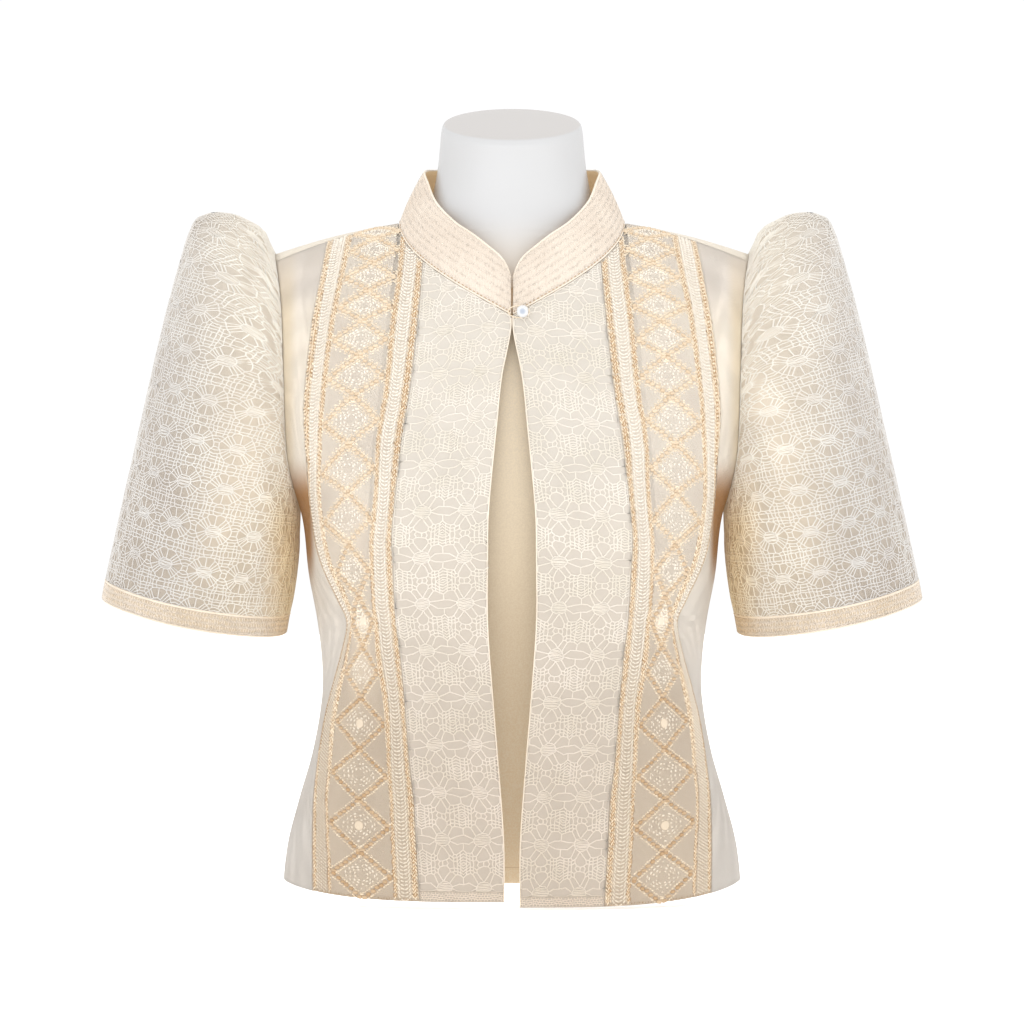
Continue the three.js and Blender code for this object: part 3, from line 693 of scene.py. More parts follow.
@dataclass(frozen=True)
class ClothFinish:
    """Woven or knotted thread: two close colours, a weave, loose fibres and a soft sheen."""

    name: str
    light: Rgb
    dark: Rgb
    mottle: float = 28.0
    weave: float = 0.0
    weave_depth: float = 0.00012
    fibre: float = 900.0
    fibre_depth: float = 0.0002
    roughness: float = 0.82
    sheen: float = 0.25
    specular: float = 0.3
    shaded: bool = False
    net: Rgb | None = None
    low: Rgb = (239, 235, 230)  # painted shade: multiplies the colour near the hem, so it is darker towards the bottom
    fade: tuple[float, float] = (0.30, 0.06)  # heights between which that painted shade fades in
    tints: tuple[Tint, ...] = ()
    crinkle: float = 0.0  # depth of its upright crinkles
    glow: float = 0.10  # painted light: the cloth glows, standing in for light that comes through the thin cloth

    def material(self) -> bpy.types.Material:
        """The finish as a material."""
        nodes = Nodes(self.name)
        place = nodes.add("ShaderNodeTexCoord")
        patches = nodes.texture("ShaderNodeTexNoise", place.outputs["Object"],
                                {"Scale": self.mottle, "Detail": 4.0, "Roughness": 0.6})
        share = nodes.ramp(patches.outputs["Fac"], 0.32, 0.68)
        colour = nodes.blend(share, linear(self.light), linear(self.dark))
        fibres = nodes.texture("ShaderNodeTexNoise", place.outputs["Object"],
                               {"Scale": self.fibre, "Detail": 3.0, "Roughness": 0.65})
        relief = nodes.sums("MULTIPLY", fibres.outputs["Fac"], self.fibre_depth / Nodes.RELIEF)
        if self.weave:
            for axis in ("X", "Y"):
                wave = nodes.texture("ShaderNodeTexWave", place.outputs["UV"],
                                     {"Scale": Nodes.WAVE / self.weave, "Distortion": 0.6,
                                      "Detail": 1.0, "Detail Scale": 1.0}, bands_direction=axis)
                lift = nodes.sums("MULTIPLY", wave.outputs["Fac"], self.weave_depth / Nodes.RELIEF)
                relief = nodes.sums("ADD", relief, lift)
        if self.net:
            cells = nodes.texture("ShaderNodeTexVoronoi", place.outputs["UV"],
                                  {"Scale": 700.0, "Randomness": 0.55}, voronoi_dimensions="2D")
            hole = nodes.ramp(cells.outputs["Distance"], 0.24, 0.46)
            colour = nodes.blend(hole, linear(self.net), colour)
            relief = nodes.sums("ADD", relief, nodes.sums("MULTIPLY", hole, 0.25))
        if self.shaded:
            shade = nodes.add("ShaderNodeAttribute", attribute_name="shade")
            colour = nodes.blend(shade.outputs["Fac"], linear(self.dark), linear(self.light))
        split = nodes.add("ShaderNodeSeparateXYZ")
        nodes.join(place.outputs["Object"], split.inputs[0])
        height = split.outputs["Z"]
        # painted shade: the colour darkens towards the hem
        painted_low_shade = nodes.ramp(height, *self.fade)
        colour = nodes.blend(painted_low_shade, colour, linear(self.low), "MULTIPLY", 0.0)
        out = nodes.sums("ABSOLUTE", split.outputs["X"], 0.0)
        for tint in self.tints:
            colour = tint.lay(nodes, out, height, colour)
        if self.crinkle:
            stretch = nodes.add("ShaderNodeMapping", {"Scale": (1.0, 0.2, 1.0)})
            nodes.join(place.outputs["UV"], stretch.inputs["Vector"])
            ripples = nodes.texture("ShaderNodeTexNoise", stretch.outputs["Vector"],
                                    {"Scale": 520.0, "Detail": 1.5, "Distortion": 1.1})
            lift = nodes.sums("MULTIPLY", ripples.outputs["Fac"], self.crinkle / Nodes.RELIEF)
            relief = nodes.sums("ADD", relief, lift)
        nodes.join(colour, nodes.shader.inputs["Base Color"])
        # painted light: the cloth's colour also glows
        nodes.join(colour, nodes.shader.inputs["Emission Color"])
        nodes.shade(Emission_Strength=self.glow, Roughness=self.roughness, Specular_IOR_Level=self.specular,
                    Sheen_Weight=self.sheen, Sheen_Roughness=0.4)
        nodes.bump(relief, Nodes.RELIEF)
        return nodes.material


@dataclass(frozen=True)
class NacreFinish:
    """Pearl under a clear coat, with a painted reflection and sheen: cool grey where it faces the eye, pale
    at the rim.
    """

    name: str = "pearl_nacre"

    def material(self) -> bpy.types.Material:
        """The finish as a material."""
        nodes = Nodes(self.name)
        place = nodes.add("ShaderNodeTexCoord")
        clouds = nodes.texture("ShaderNodeTexNoise", place.outputs["Object"],
                               {"Scale": 260.0, "Detail": 2.0})
        # painted reflection and sheen: bluish grey facing the eye, pale at the rim
        rim = nodes.add("ShaderNodeLayerWeight", {"Blend": 0.55})
        body = nodes.blend(clouds.outputs["Fac"], linear((172, 179, 192)), linear((162, 170, 184)))
        tint = nodes.blend(clouds.outputs["Fac"], linear((224, 222, 222)), linear((216, 220, 223)))
        colour = nodes.blend(nodes.ramp(rim.outputs["Facing"], 0.0, 0.24), body, tint)
        nodes.join(colour, nodes.shader.inputs["Base Color"])
        nodes.shade(Roughness=0.22, Coat_Weight=0.5, Coat_Roughness=0.06)
        nodes.bump(clouds.outputs["Fac"], 0.00004)
        return nodes.material


@dataclass(frozen=True)
class FormFinish:
    """The dress form: satin white above the neckline, and cream jersey pulled over the body, with painted
    shade and painted light.
    """

    name: str = "form_satin_and_jersey"
    collar_z: float = 0.452
    hem_z: float = 0.0162
    seam_z: float = 0.028  # a line of stitches goes round above its hem
    # painted light: the jersey glows, more towards the bottom
    glow: float = 0.24
    foot_glow: float = 1.0  # painted light: its foot glows, as if lit by the light table

    def material(self) -> bpy.types.Material:
        """The finish as a material."""
        nodes = Nodes(self.name)
        place = nodes.add("ShaderNodeTexCoord")
        split = nodes.add("ShaderNodeSeparateXYZ")
        nodes.join(place.outputs["Object"], split.inputs[0])
        height = split.outputs["Z"]
        jersey = nodes.ramp(height, self.collar_z + 0.001, self.collar_z)
        # painted warm shade: the jersey turns warmer towards the bottom
        fade = nodes.ramp(height, 0.05, 0.42)
        cloth = nodes.blend(fade, linear((212, 190, 157)), linear((206, 192, 171)))
        grain = nodes.texture("ShaderNodeTexNoise", place.outputs["Object"],
                              {"Scale": 900.0, "Detail": 3.0})
        mottled = nodes.blend(nodes.ramp(grain.outputs["Fac"], 0.3, 0.7), cloth,
                              linear((216, 200, 174)))
        # painted light: below the hem the form is painted white, and it glows
        below = nodes.ramp(height, self.hem_z + 0.0006, self.hem_z)
        stitches = nodes.sums("MULTIPLY", nodes.ramp(height, self.seam_z - 0.0006, self.seam_z),
                              nodes.ramp(height, self.seam_z + 0.0006, self.seam_z))
        mottled = nodes.blend(stitches, mottled, linear((196, 172, 138)))
        mottled = nodes.blend(below, mottled, linear((250, 250, 250)))
        soft = nodes.texture("ShaderNodeTexNoise", place.outputs["Object"],
                             {"Scale": 14.0, "Detail": 2.0})
        white = nodes.blend(soft.outputs["Fac"], linear((198, 198, 199)), linear((193, 193, 193)))
        # painted shade: faces that look up, on the neck's top, are darker
        facing = nodes.add("ShaderNodeNewGeometry")
        upright = nodes.add("ShaderNodeSeparateXYZ")
        nodes.join(facing.outputs["Normal"], upright.inputs[0])
        top = nodes.sums("MULTIPLY", nodes.ramp(upright.outputs["Z"], 0.55, 0.95),
                         nodes.ramp(height, 0.545, 0.555))
        white = nodes.blend(top, white, linear((194, 190, 187)))
        # painted warm shade: the neck turns warmer just above the collar
        painted_collar_shade = nodes.ramp(height, 0.51, 0.465)
        white = nodes.blend(painted_collar_shade, white, linear((206, 199, 190)))
        colour = nodes.blend(jersey, white, mottled)
        nodes.join(colour, nodes.shader.inputs["Base Color"])
        nodes.join(colour, nodes.shader.inputs["Emission Color"])
        # painted light: the body glows, more towards the bottom
        glow = nodes.sums("MULTIPLY", nodes.ramp(height, 0.30, 0.03), self.glow)
        glow = nodes.sums("ADD", glow, nodes.sums("MULTIPLY", below, self.foot_glow))
        nodes.join(glow, nodes.shader.inputs["Emission Strength"])
        rough = nodes.add("ShaderNodeMapRange", {1: 0.0, 2: 1.0, 3: 0.34, 4: 0.85})
        nodes.join(jersey, rough.inputs[0])
        nodes.join(rough.outputs[0], nodes.shader.inputs["Roughness"])
        nodes.bump(nodes.sums("MULTIPLY", grain.outputs["Fac"], jersey), 0.00002)
        return nodes.material


# painted shade: warmer and darker on the sleeve's inner side, low down
INNER_SLEEVE_SHADE = Tint((249, 231, 198), (0.188, 0.163), (0.12, 0.20), (0.33, 0.27))
# painted shade: brown on the side cloth in the armpit, under the sleeve
ARMPIT_SHADE = Tint((190, 144, 92), (0.1440, 0.1500), (0.225, 0.262), (0.330, 0.298))
# painted reflected light: a warm tone along the armhole, thrown back from the sleeve
ARMHOLE_BOUNCE_LIGHT = Tint((252, 246, 232), (0.157, 0.166), (0.30, 0.33), (0.50, 0.44))
SHOULDER = Tint((234, 234, 238), (-0.2, -0.1), (0.42, 0.46), (1.0, 0.9))
# painted shade: greyer towards the sleeve's outer side
OUTER_SLEEVE_SHADE = Tint((236, 238, 245), (0.19, 0.26), (-1.0, -0.9), (1.0, 0.9))


class Thread(Enum):
    """The finishes worked from thread and cloth."""

    # painted light: each finish's glow makes the cloth shine as if light came through it
    # painted shade: each finish's low colour darkens it towards the hem
    LACE = ClothFinish("lace_thread", (227, 220, 210), (219, 212, 199), roughness=0.8,
                       low=(238, 232, 227))
    SLEEVE_LACE = ClothFinish("sleeve_lace_thread", (223, 218, 207), (215, 208, 197), roughness=0.8,
                              glow=0.2, tints=(INNER_SLEEVE_SHADE, OUTER_SLEEVE_SHADE))
    CUFF = ClothFinish("cuff_lace_thread", (225, 213, 199), (216, 202, 184), roughness=0.8,
                       tints=(INNER_SLEEVE_SHADE,), crinkle=0.0005)
    CUFF_CLOTH = ClothFinish("cuff_cloth", (203, 188, 166), (195, 178, 154), sheen=0.1,
                             tints=(INNER_SLEEVE_SHADE,))
    CUFF_CORD = ClothFinish("cuff_cord", (228, 216, 199), (220, 206, 187), tints=(INNER_SLEEVE_SHADE,))
    EDGING = ClothFinish("edging_thread", (228, 217, 204), (222, 210, 196), roughness=0.8,
                         crinkle=0.0003)
    EDGING_CLOTH = ClothFinish("edging_cloth", (219, 207, 193), (213, 200, 186), sheen=0.1,
                               fibre_depth=0.00006, crinkle=0.0003)
    EDGING_CORD = ClothFinish("edging_cord", (234, 224, 209), (227, 215, 198))
    # painted shade: tan on the collar's inner side, and painted light from its glow
    FACING = ClothFinish("collar_inside_shade", (214, 186, 146), (204, 175, 134), sheen=0.1, glow=0.33)
    LINING = ClothFinish("organza_lining", (200, 193, 183), (196, 189, 179), weave=0.0005,
                         weave_depth=0.00002, fibre_depth=0.00005, sheen=0.1, low=(228, 221, 215),
                         fade=(0.40, 0.06))
    SLEEVE = ClothFinish("sleeve_organza", (222, 211, 195), (213, 202, 186), weave=0.0005, sheen=0.1,
                         low=(233, 228, 221), fade=(0.50, 0.23), glow=0.23,
                         tints=(INNER_SLEEVE_SHADE, OUTER_SLEEVE_SHADE))
    PLAIN = ClothFinish("plain_organza", (227, 217, 202), (223, 212, 196), weave=0.0006, sheen=0.2,
                        low=(214, 216, 222), fade=(0.42, 0.08), glow=0.34,
                        tints=(ARMPIT_SHADE, ARMHOLE_BOUNCE_LIGHT, SHOULDER))
    BACK = ClothFinish("back_organza", (224, 215, 201), (218, 209, 194), weave=0.0006,
                       weave_depth=0.00008, sheen=0.2,
                       low=(226, 227, 231), fade=(0.52, 0.0), glow=0.32, tints=(ARMPIT_SHADE,))
    GROUND = ClothFinish("band_ground", (240, 225, 205), (232, 215, 195), weave=0.0011,
                         weave_depth=0.00004, fibre_depth=0.00008, net=(248, 241, 231),
                         low=(222, 214, 204), fade=(0.32, 0.12))
    TAN = ClothFinish("tan_floss", (241, 227, 204), (178, 146, 109), roughness=0.6, specular=0.4,
                      shaded=True, low=(246, 244, 241))
    WHITE = ClothFinish("white_floss", (240, 233, 221), (213, 199, 179), roughness=0.6, specular=0.4,
                        shaded=True, low=(236, 230, 222))


class Dresser:
    """Dresses finished pieces: material, body and the nodes that they stand for."""

    def __init__(self) -> None:
        """Starts with no materials made."""
        self.materials: dict[object, bpy.types.Material] = {}

    def material(self, finish: object) -> bpy.types.Material:
        """A finish's material, made once."""
        if finish not in self.materials:
            made = finish.value if isinstance(finish, Thread) else finish
            self.materials[finish] = made.material()
        return self.materials[finish]

    def dress(self, piece: bpy.types.Object, finish: object, slot: str,
              stands_for: str | None = None) -> bpy.types.Object:
        """Finishes a piece.

        Args:
            piece: The piece.
            finish: A Thread, or another finish.
            slot: The record's material slot; not used.
            stands_for: The node that the piece replaces, if it does.

        Returns:
            The piece.
        """
        piece.data.materials.clear()
        piece.data.materials.append(self.material(finish))
        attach(piece, "root")
        if stands_for:
            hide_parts(stands_for)
        log.info("%s: %d faces", piece.name, len(piece.data.polygons))
        return piece


# ---------- lace nets ----------
@dataclass(frozen=True)
class LaceRepeat:
    """A quarter of one repeat of lace: the holes between its threads, from the flower's centre."""

    width: float
    height: float
    holes: tuple[tuple[tuple[float, float], ...], ...]
    ties: Rows = ()  # upright threads kept on the quarter's edges: x, from, to
    thread: float = 0.42  # half the thread's width
    wander: float = 0.5
    jitter: float = 0.22

    def spread(self, name: str, first_x: float, first_y: float, width: float, height: float
               ) -> bpy.types.Object:
        """Repeats the quarter over a flat sheet.

        Args:
            name: The piece's name.
            first_x: Where the first flower's centre lies across the sheet.
            first_y: Where it lies up the sheet.
            width: The sheet's width.
            height: Its height.

        Returns:
            The flat net, one face to each hole.
        """
        points, faces = {}, []
        for hole in self.holes:
            faces.append([points.setdefault(place, len(points)) for place in hole])
        piece = flat_piece(name, [(x, y, 0.0) for x, y in points], faces)
        apply_modifier(piece, "MIRROR", use_axis=(True, True, False), merge_threshold=1e-3)
        left = math.ceil(first_x / self.width + 0.5)
        low = math.ceil(first_y / self.height + 0.5)
        counts = (left + math.ceil((width - first_x) / self.width + 0.5),
                  low + math.ceil((height - first_y) / self.height + 0.5))
        for axis, count in enumerate(counts):
            step = [0.0, 0.0, 0.0]
            step[axis] = (self.width, self.height)[axis]
            apply_modifier(piece, "ARRAY", count=count, use_relative_offset=False,
                           use_constant_offset=True, constant_offset_displace=step,
                           use_merge_vertices=True, merge_threshold=1e-3)
        self.open_up(piece)
        start = [first_x - left * self.width + self.width, first_y - low * self.height + self.height, 0]
        set_points(piece, points_of(piece) + start)
        return piece

    def open_up(self, piece: bpy.types.Object) -> None:
        """Takes out the quarter's own edges, apart from the ties, so that holes run across them."""
        ends = points_of(piece)[edges_of(piece)]
        middle = ends.mean(axis=1)
        half_x, half_y = self.width / 2, self.height / 2
        x = np.abs((middle[:, 0] + half_x) % self.width - half_x)
        y = np.abs((middle[:, 1] + half_y) % self.height - half_y)
        upright = np.abs(ends[:, 0, 0] - ends[:, 1, 0]) < 1e-3
        level = np.abs(ends[:, 0, 1] - ends[:, 1, 1]) < 1e-3
        on_x = upright & ((x < 1e-3) | (x > half_x - 1e-3))
        on_y = level & ((y < 1e-3) | (y > half_y - 1e-3))
        for at, low, high in self.ties:
            on_x &= ~((np.abs(x - at) < 1e-3) & (y > low) & (y < high))
        select_only(piece, "EDGE", on_x | on_y)
        bpy.ops.mesh.dissolve_edges(use_verts=False)
        leave_edit()


class NetMaker:
    """Turns a flat net of holes into raised threads on a piece of cloth."""

    REACH = 2.0  # how far a hole's corner lies from its knot, in half threads

    def __init__(self, patch: Patch, seed: int, sliver: float = 1.2) -> None:
        """Takes the cloth below, the seed of its unevenness, and the least area of a hole."""
        self.patch, self.chance, self.sliver = patch, np.random.default_rng(seed), sliver

    def trim(self, piece: bpy.types.Object, low: float, gap: float = 0.6) -> None:
        """Cuts the net to the cloth's outline, from `low` up to its top edge."""
        cuts = [((0, low, 0), (0, 1, 0))]
        if not self.patch.ring:
            cuts += [((0.5, 0, 0), (1, 0, 0)), ((self.patch.width - 0.5, 0, 0), (-1, 0, 0))]
        else:
            cuts += [((0, 0, 0), (1, 0, 0)), ((self.patch.width, 0, 0), (-1, 0, 0))]
        for place, keep in cuts:
            select_only(piece, "FACE", all_faces(piece))
            bpy.ops.mesh.bisect(plane_co=place, plane_no=keep, clear_inner=True, clear_outer=False)
            leave_edit()
        points = points_of(piece)
        limit = self.patch.top(np.clip(points[:, 0], 0, self.patch.width)) - gap
        beyond = points[:, 1] > limit
        gone = [all(beyond[v] for v in face.vertices) for face in piece.data.polygons]
        points[:, 1] = np.minimum(points[:, 1], limit)
        set_points(piece, points)
        thin = [face.area < self.sliver for face in piece.data.polygons]
        select_only(piece, "FACE", np.logical_or(gone, thin))
        bpy.ops.mesh.delete(type="FACE")
        leave_edit()

    def unsettle(self, piece: bpy.types.Object, repeat: LaceRepeat, low: float) -> None:
        """Makes the net as uneven as handwork: it wanders slowly and each knot strays a little."""
        points = points_of(piece)
        x, y = points[:, 0], points[:, 1]
        phase = self.chance.uniform(0, 2 * math.pi, 6)
        edge = np.ones(len(x)) if self.patch.ring else np.clip(np.minimum(x, self.patch.width - x), 0, 1)
        turn = x / self.patch.width * 2 * math.pi
        slow_x = np.sin(3 * turn + y / 23 + phase[0]) + 0.6 * np.sin(5 * turn - y / 11 + phase[1])
        slow_y = np.sin(4 * turn - y / 17 + phase[2]) + 0.6 * np.sin(7 * turn + y / 9 + phase[3])
        stray = self.chance.uniform(-1, 1, (len(x), 2)) * repeat.jitter
        inside = edge * np.clip((y - low) / 2, 0, 1) * np.clip((self.patch.top(x) - y) / 2, 0.2, 1)
        seam = (x < 1e-3) | (x > self.patch.width - 1e-3)
        points[:, 0] += np.where(seam, 0, (slow_x * repeat.wander + stray[:, 0]) * inside)
        slow_y = slow_y * repeat.wander
        points[:, 1] += np.where(seam, slow_y, slow_y + stray[:, 1]) * inside
        set_points(piece, points)

    def draw_back(self, piece: bpy.types.Object, thread: float) -> None:
        """Draws back the holes' corners where they reach too far from the net's knots."""
        points, ends = points_of(piece), edges_of(piece)
        deep = np.abs(points[:, 2]) > thread / 2
        ends = ends[deep[ends[:, 0]] != deep[ends[:, 1]]]
        outer = np.where(deep[ends[:, 0]], ends[:, 1], ends[:, 0])
        inner = np.where(deep[ends[:, 0]], ends[:, 0], ends[:, 1])
        reach = points[inner, :2] - points[outer, :2]
        length = np.linalg.norm(reach, axis=1, keepdims=True)
        most = self.REACH * thread
        points[inner, :2] = points[outer, :2] + reach * np.minimum(1, most / np.maximum(length, 1e-9))
        points[inner, 2] = -thread
        set_points(piece, points)

    def work(self, piece: bpy.types.Object, repeat: LaceRepeat, low: float, lift: float
             ) -> bpy.types.Object:
        """Makes the net's threads and lays them on the cloth.

        Args:
            piece: The flat net.
            repeat: The lace that it repeats.
            low: Where it starts, up the sheet.
            lift: How far the middle of the threads lies off the cloth.

        Returns:
            The worked net.
        """
        self.trim(piece, low)
        self.unsettle(piece, repeat, low)
        thread = repeat.thread
        select_only(piece, "FACE", all_faces(piece))
        bpy.ops.mesh.inset(thickness=thread, depth=-thread, use_individual=True)
        bpy.ops.mesh.delete(type="FACE")
        leave_edit()
        self.draw_back(piece, thread)
        uses = np.bincount([k for face in piece.data.polygons for k in
                            (piece.data.loops[i].edge_index for i in face.loop_indices)],
                           minlength=len(piece.data.edges))
        ends = points_of(piece)[edges_of(piece)]
        rim = (uses == 1) & (ends[:, :, 2].min(axis=1) > -thread / 2)
        if self.patch.ring:
            x = ends[:, :, 0]
            rim &= ~((x.max(axis=1) < 1e-3) | (x.min(axis=1) > self.patch.width - 1e-3))
        select_only(piece, "EDGE", rim)
        bpy.ops.mesh.extrude_region_move(TRANSFORM_OT_translate={"value": (0, 0, -thread)})
        bpy.ops.mesh.select_all(action="SELECT")
        bpy.ops.mesh.duplicate()
        bpy.ops.transform.resize(value=(1, 1, -1), center_override=(0, 0, -thread))
        bpy.ops.mesh.flip_normals()
        bpy.ops.mesh.select_all(action="SELECT")
        bpy.ops.mesh.remove_doubles(threshold=1e-4)
        leave_edit()
        set_points(piece, points_of(piece) + [0, 0, thread + lift])
        self.patch.wrap(piece)
        merge_close(piece, 2e-6)
        piece.data.shade_smooth()
        return piece


FRONT_LACE = LaceRepeat(30, 34.5, (
    ((0, 0), (5.6, 0), (5.6, 0.6), (0, 0.6)),
    ((0, 0.6), (5.6, 0.6), (5.2, 1.8), (0, 1.8)),
    ((0, 1.8), (5.2, 1.8), (4.2, 3.0), (0, 3.0)),
    ((0, 3.0), (4.2, 3.0), (2.6, 4.0), (0, 4.6)),
    ((5.6, 0), (15, 0), (15, 3.1), (10.6, 2.8), (5.6, 0.6)),
    ((5.6, 0.6), (10.6, 2.8), (15, 3.1), (15, 7.6), (12.6, 9.4), (9.6, 9.9), (7.9, 9.4), (4.2, 3.0),
     (5.2, 1.8)),
    ((2.6, 4.0), (4.2, 3.0), (7.9, 9.4), (6.6, 11.6), (4.6, 11.2), (1.9, 7.2), (0, 4.6)),
    ((0, 4.6), (1.9, 7.2), (4.6, 11.2), (4.5, 13.6), (2.8, 15.1), (0, 15.6)),
    ((12.6, 9.4), (15, 7.6), (15, 9.9), (12.7, 11.2)),
    ((12.7, 11.2), (15, 9.9), (15, 12.1), (12.5, 13.3)),
    ((12.5, 13.3), (15, 12.1), (15, 14.3), (12.7, 15.3)),
    ((12.7, 15.3), (15, 14.3), (15, 16.2), (12.6, 17.25)),
    ((12.6, 17.25), (15, 16.2), (15, 17.25)),
    ((9.6, 9.9), (12.6, 9.4), (12.7, 11.2), (9.9, 12.2)),
    ((9.9, 12.2), (12.7, 11.2), (12.5, 13.3), (9.7, 14.4)),
    ((9.7, 14.4), (12.5, 13.3), (12.7, 15.3), (9.9, 17.25)),
    ((9.9, 17.25), (12.7, 15.3), (12.6, 17.25)),
    ((7.9, 9.4), (9.6, 9.9), (9.9, 12.2), (7.4, 12.4), (6.6, 11.6)),
    ((7.4, 12.4), (9.9, 12.2), (9.7, 14.4), (7.2, 14.9)),
    ((7.2, 14.9), (9.7, 14.4), (9.9, 17.25), (7.0, 17.25)),
    ((4.6, 11.2), (6.6, 11.6), (7.4, 12.4), (7.2, 14.9), (4.5, 13.6)),
    ((4.5, 13.6), (7.2, 14.9), (7.0, 17.25), (4.0, 17.25), (2.8, 15.1)),
    ((0, 15.6), (2.8, 15.1), (4.0, 17.25), (0, 17.25)),
), ties=((15, 3.1, 7.6), (0, 15.6, 17.25)), thread=0.5)

SLEEVE_LACE = LaceRepeat(29, 31, (
    ((0, 0), (5.2, 0), (5.15, 0.5), (0, 0.5)),
    ((0, 0.5), (5.15, 0.5), (4.9, 1.55), (0, 1.55)),
    ((0, 1.55), (4.9, 1.55), (4.2, 2.64), (0, 2.64)),
    ((0, 2.64), (4.2, 2.64), (2.7, 3.83), (0, 4.19)),
    ((5.2, 0), (12.6, 0), (12.6, 2.01), (11.2, 3.56), (5.15, 0.5)),
    ((5.15, 0.5), (11.2, 3.56), (10.2, 5.84), (4.9, 1.55)),
    ((4.9, 1.55), (10.2, 5.84), (8.6, 7.84), (4.2, 2.64)),
    ((4.2, 2.64), (8.6, 7.84), (6.6, 9.12), (2.7, 3.83)),
    ((2.7, 3.83), (6.6, 9.12), (5.4, 11.12), (2.2, 11.76), (0, 11.31), (0, 4.19)),
    ((12.6, 0), (14.5, 0), (14.5, 1.82), (12.6, 2.01)),
    ((12.6, 2.01), (14.5, 1.82), (14.5, 4.56), (11.2, 3.56)),
    ((11.2, 3.56), (14.5, 4.56), (14.5, 6.75), (12.2, 6.56), (10.2, 5.84)),
    ((10.2, 5.84), (12.2, 6.56), (11.8, 8.57), (9.6, 9.12), (8.6, 7.84)),
    ((12.2, 6.56), (14.5, 6.75), (14.5, 8.94), (11.8, 8.57)),
    ((11.8, 8.57), (14.5, 8.94), (14.5, 11.12), (11.6, 10.94)),
    ((9.6, 9.12), (11.8, 8.57), (11.6, 10.94), (9.2, 11.31)),
    ((6.6, 9.12), (8.6, 7.84), (9.6, 9.12), (9.2, 11.31), (7.4, 11.67), (5.4, 11.12)),
    ((11.6, 10.94), (14.5, 11.12), (14.5, 13.31), (11.4, 13.13)),
    ((9.2, 11.31), (11.6, 10.94), (11.4, 13.13), (8.9, 13.59)),
    ((5.4, 11.12), (7.4, 11.67), (9.2, 11.31), (8.9, 13.59), (6.6, 13.86)),
    ((11.4, 13.13), (14.5, 13.31), (14.5, 15.5), (11.2, 15.5)),
    ((8.9, 13.59), (11.4, 13.13), (11.2, 15.5), (8.6, 15.5)),
    ((6.6, 13.86), (8.9, 13.59), (8.6, 15.5), (6.2, 15.5)),
    ((2.2, 11.76), (5.4, 11.12), (6.6, 13.86), (3.4, 13.68)),
    ((3.4, 13.68), (6.6, 13.86), (6.2, 15.5), (3.2, 15.5)),
    ((0, 11.31), (2.2, 11.76), (3.4, 13.68), (0, 13.59)),
    ((0, 13.59), (3.4, 13.68), (3.2, 15.5), (0, 15.5)),
), ties=((0, 4.19, 11.31), (14.5, 13.31, 15.5)), thread=0.44, jitter=0.42)


def fine_lace(width: float, height: float, side: float, thread: float, jitter: float) -> LaceRepeat:
    """Dense crinkled lace: long six-sided holes in staggered columns.

    Args:
        width: Distance between columns of like holes.
        height: Distance from hole to hole up a column.
        side: Half the length of a hole's upright sides.
        thread: Half the thread's width.
        jitter: How far each knot strays.

    Returns:
        The repeat.
    """
    half_x, half_y = width / 2, height / 2
    tip = half_y - side
    holes = (((0, 0), (half_x, 0), (half_x, side), (0, tip)),
             ((half_x, side), (half_x, half_y), (0, half_y), (0, tip)))
    return LaceRepeat(width, height, holes, ties=((0, tip, half_y), (half_x, 0, side)), thread=thread,
                      wander=0.35, jitter=jitter)


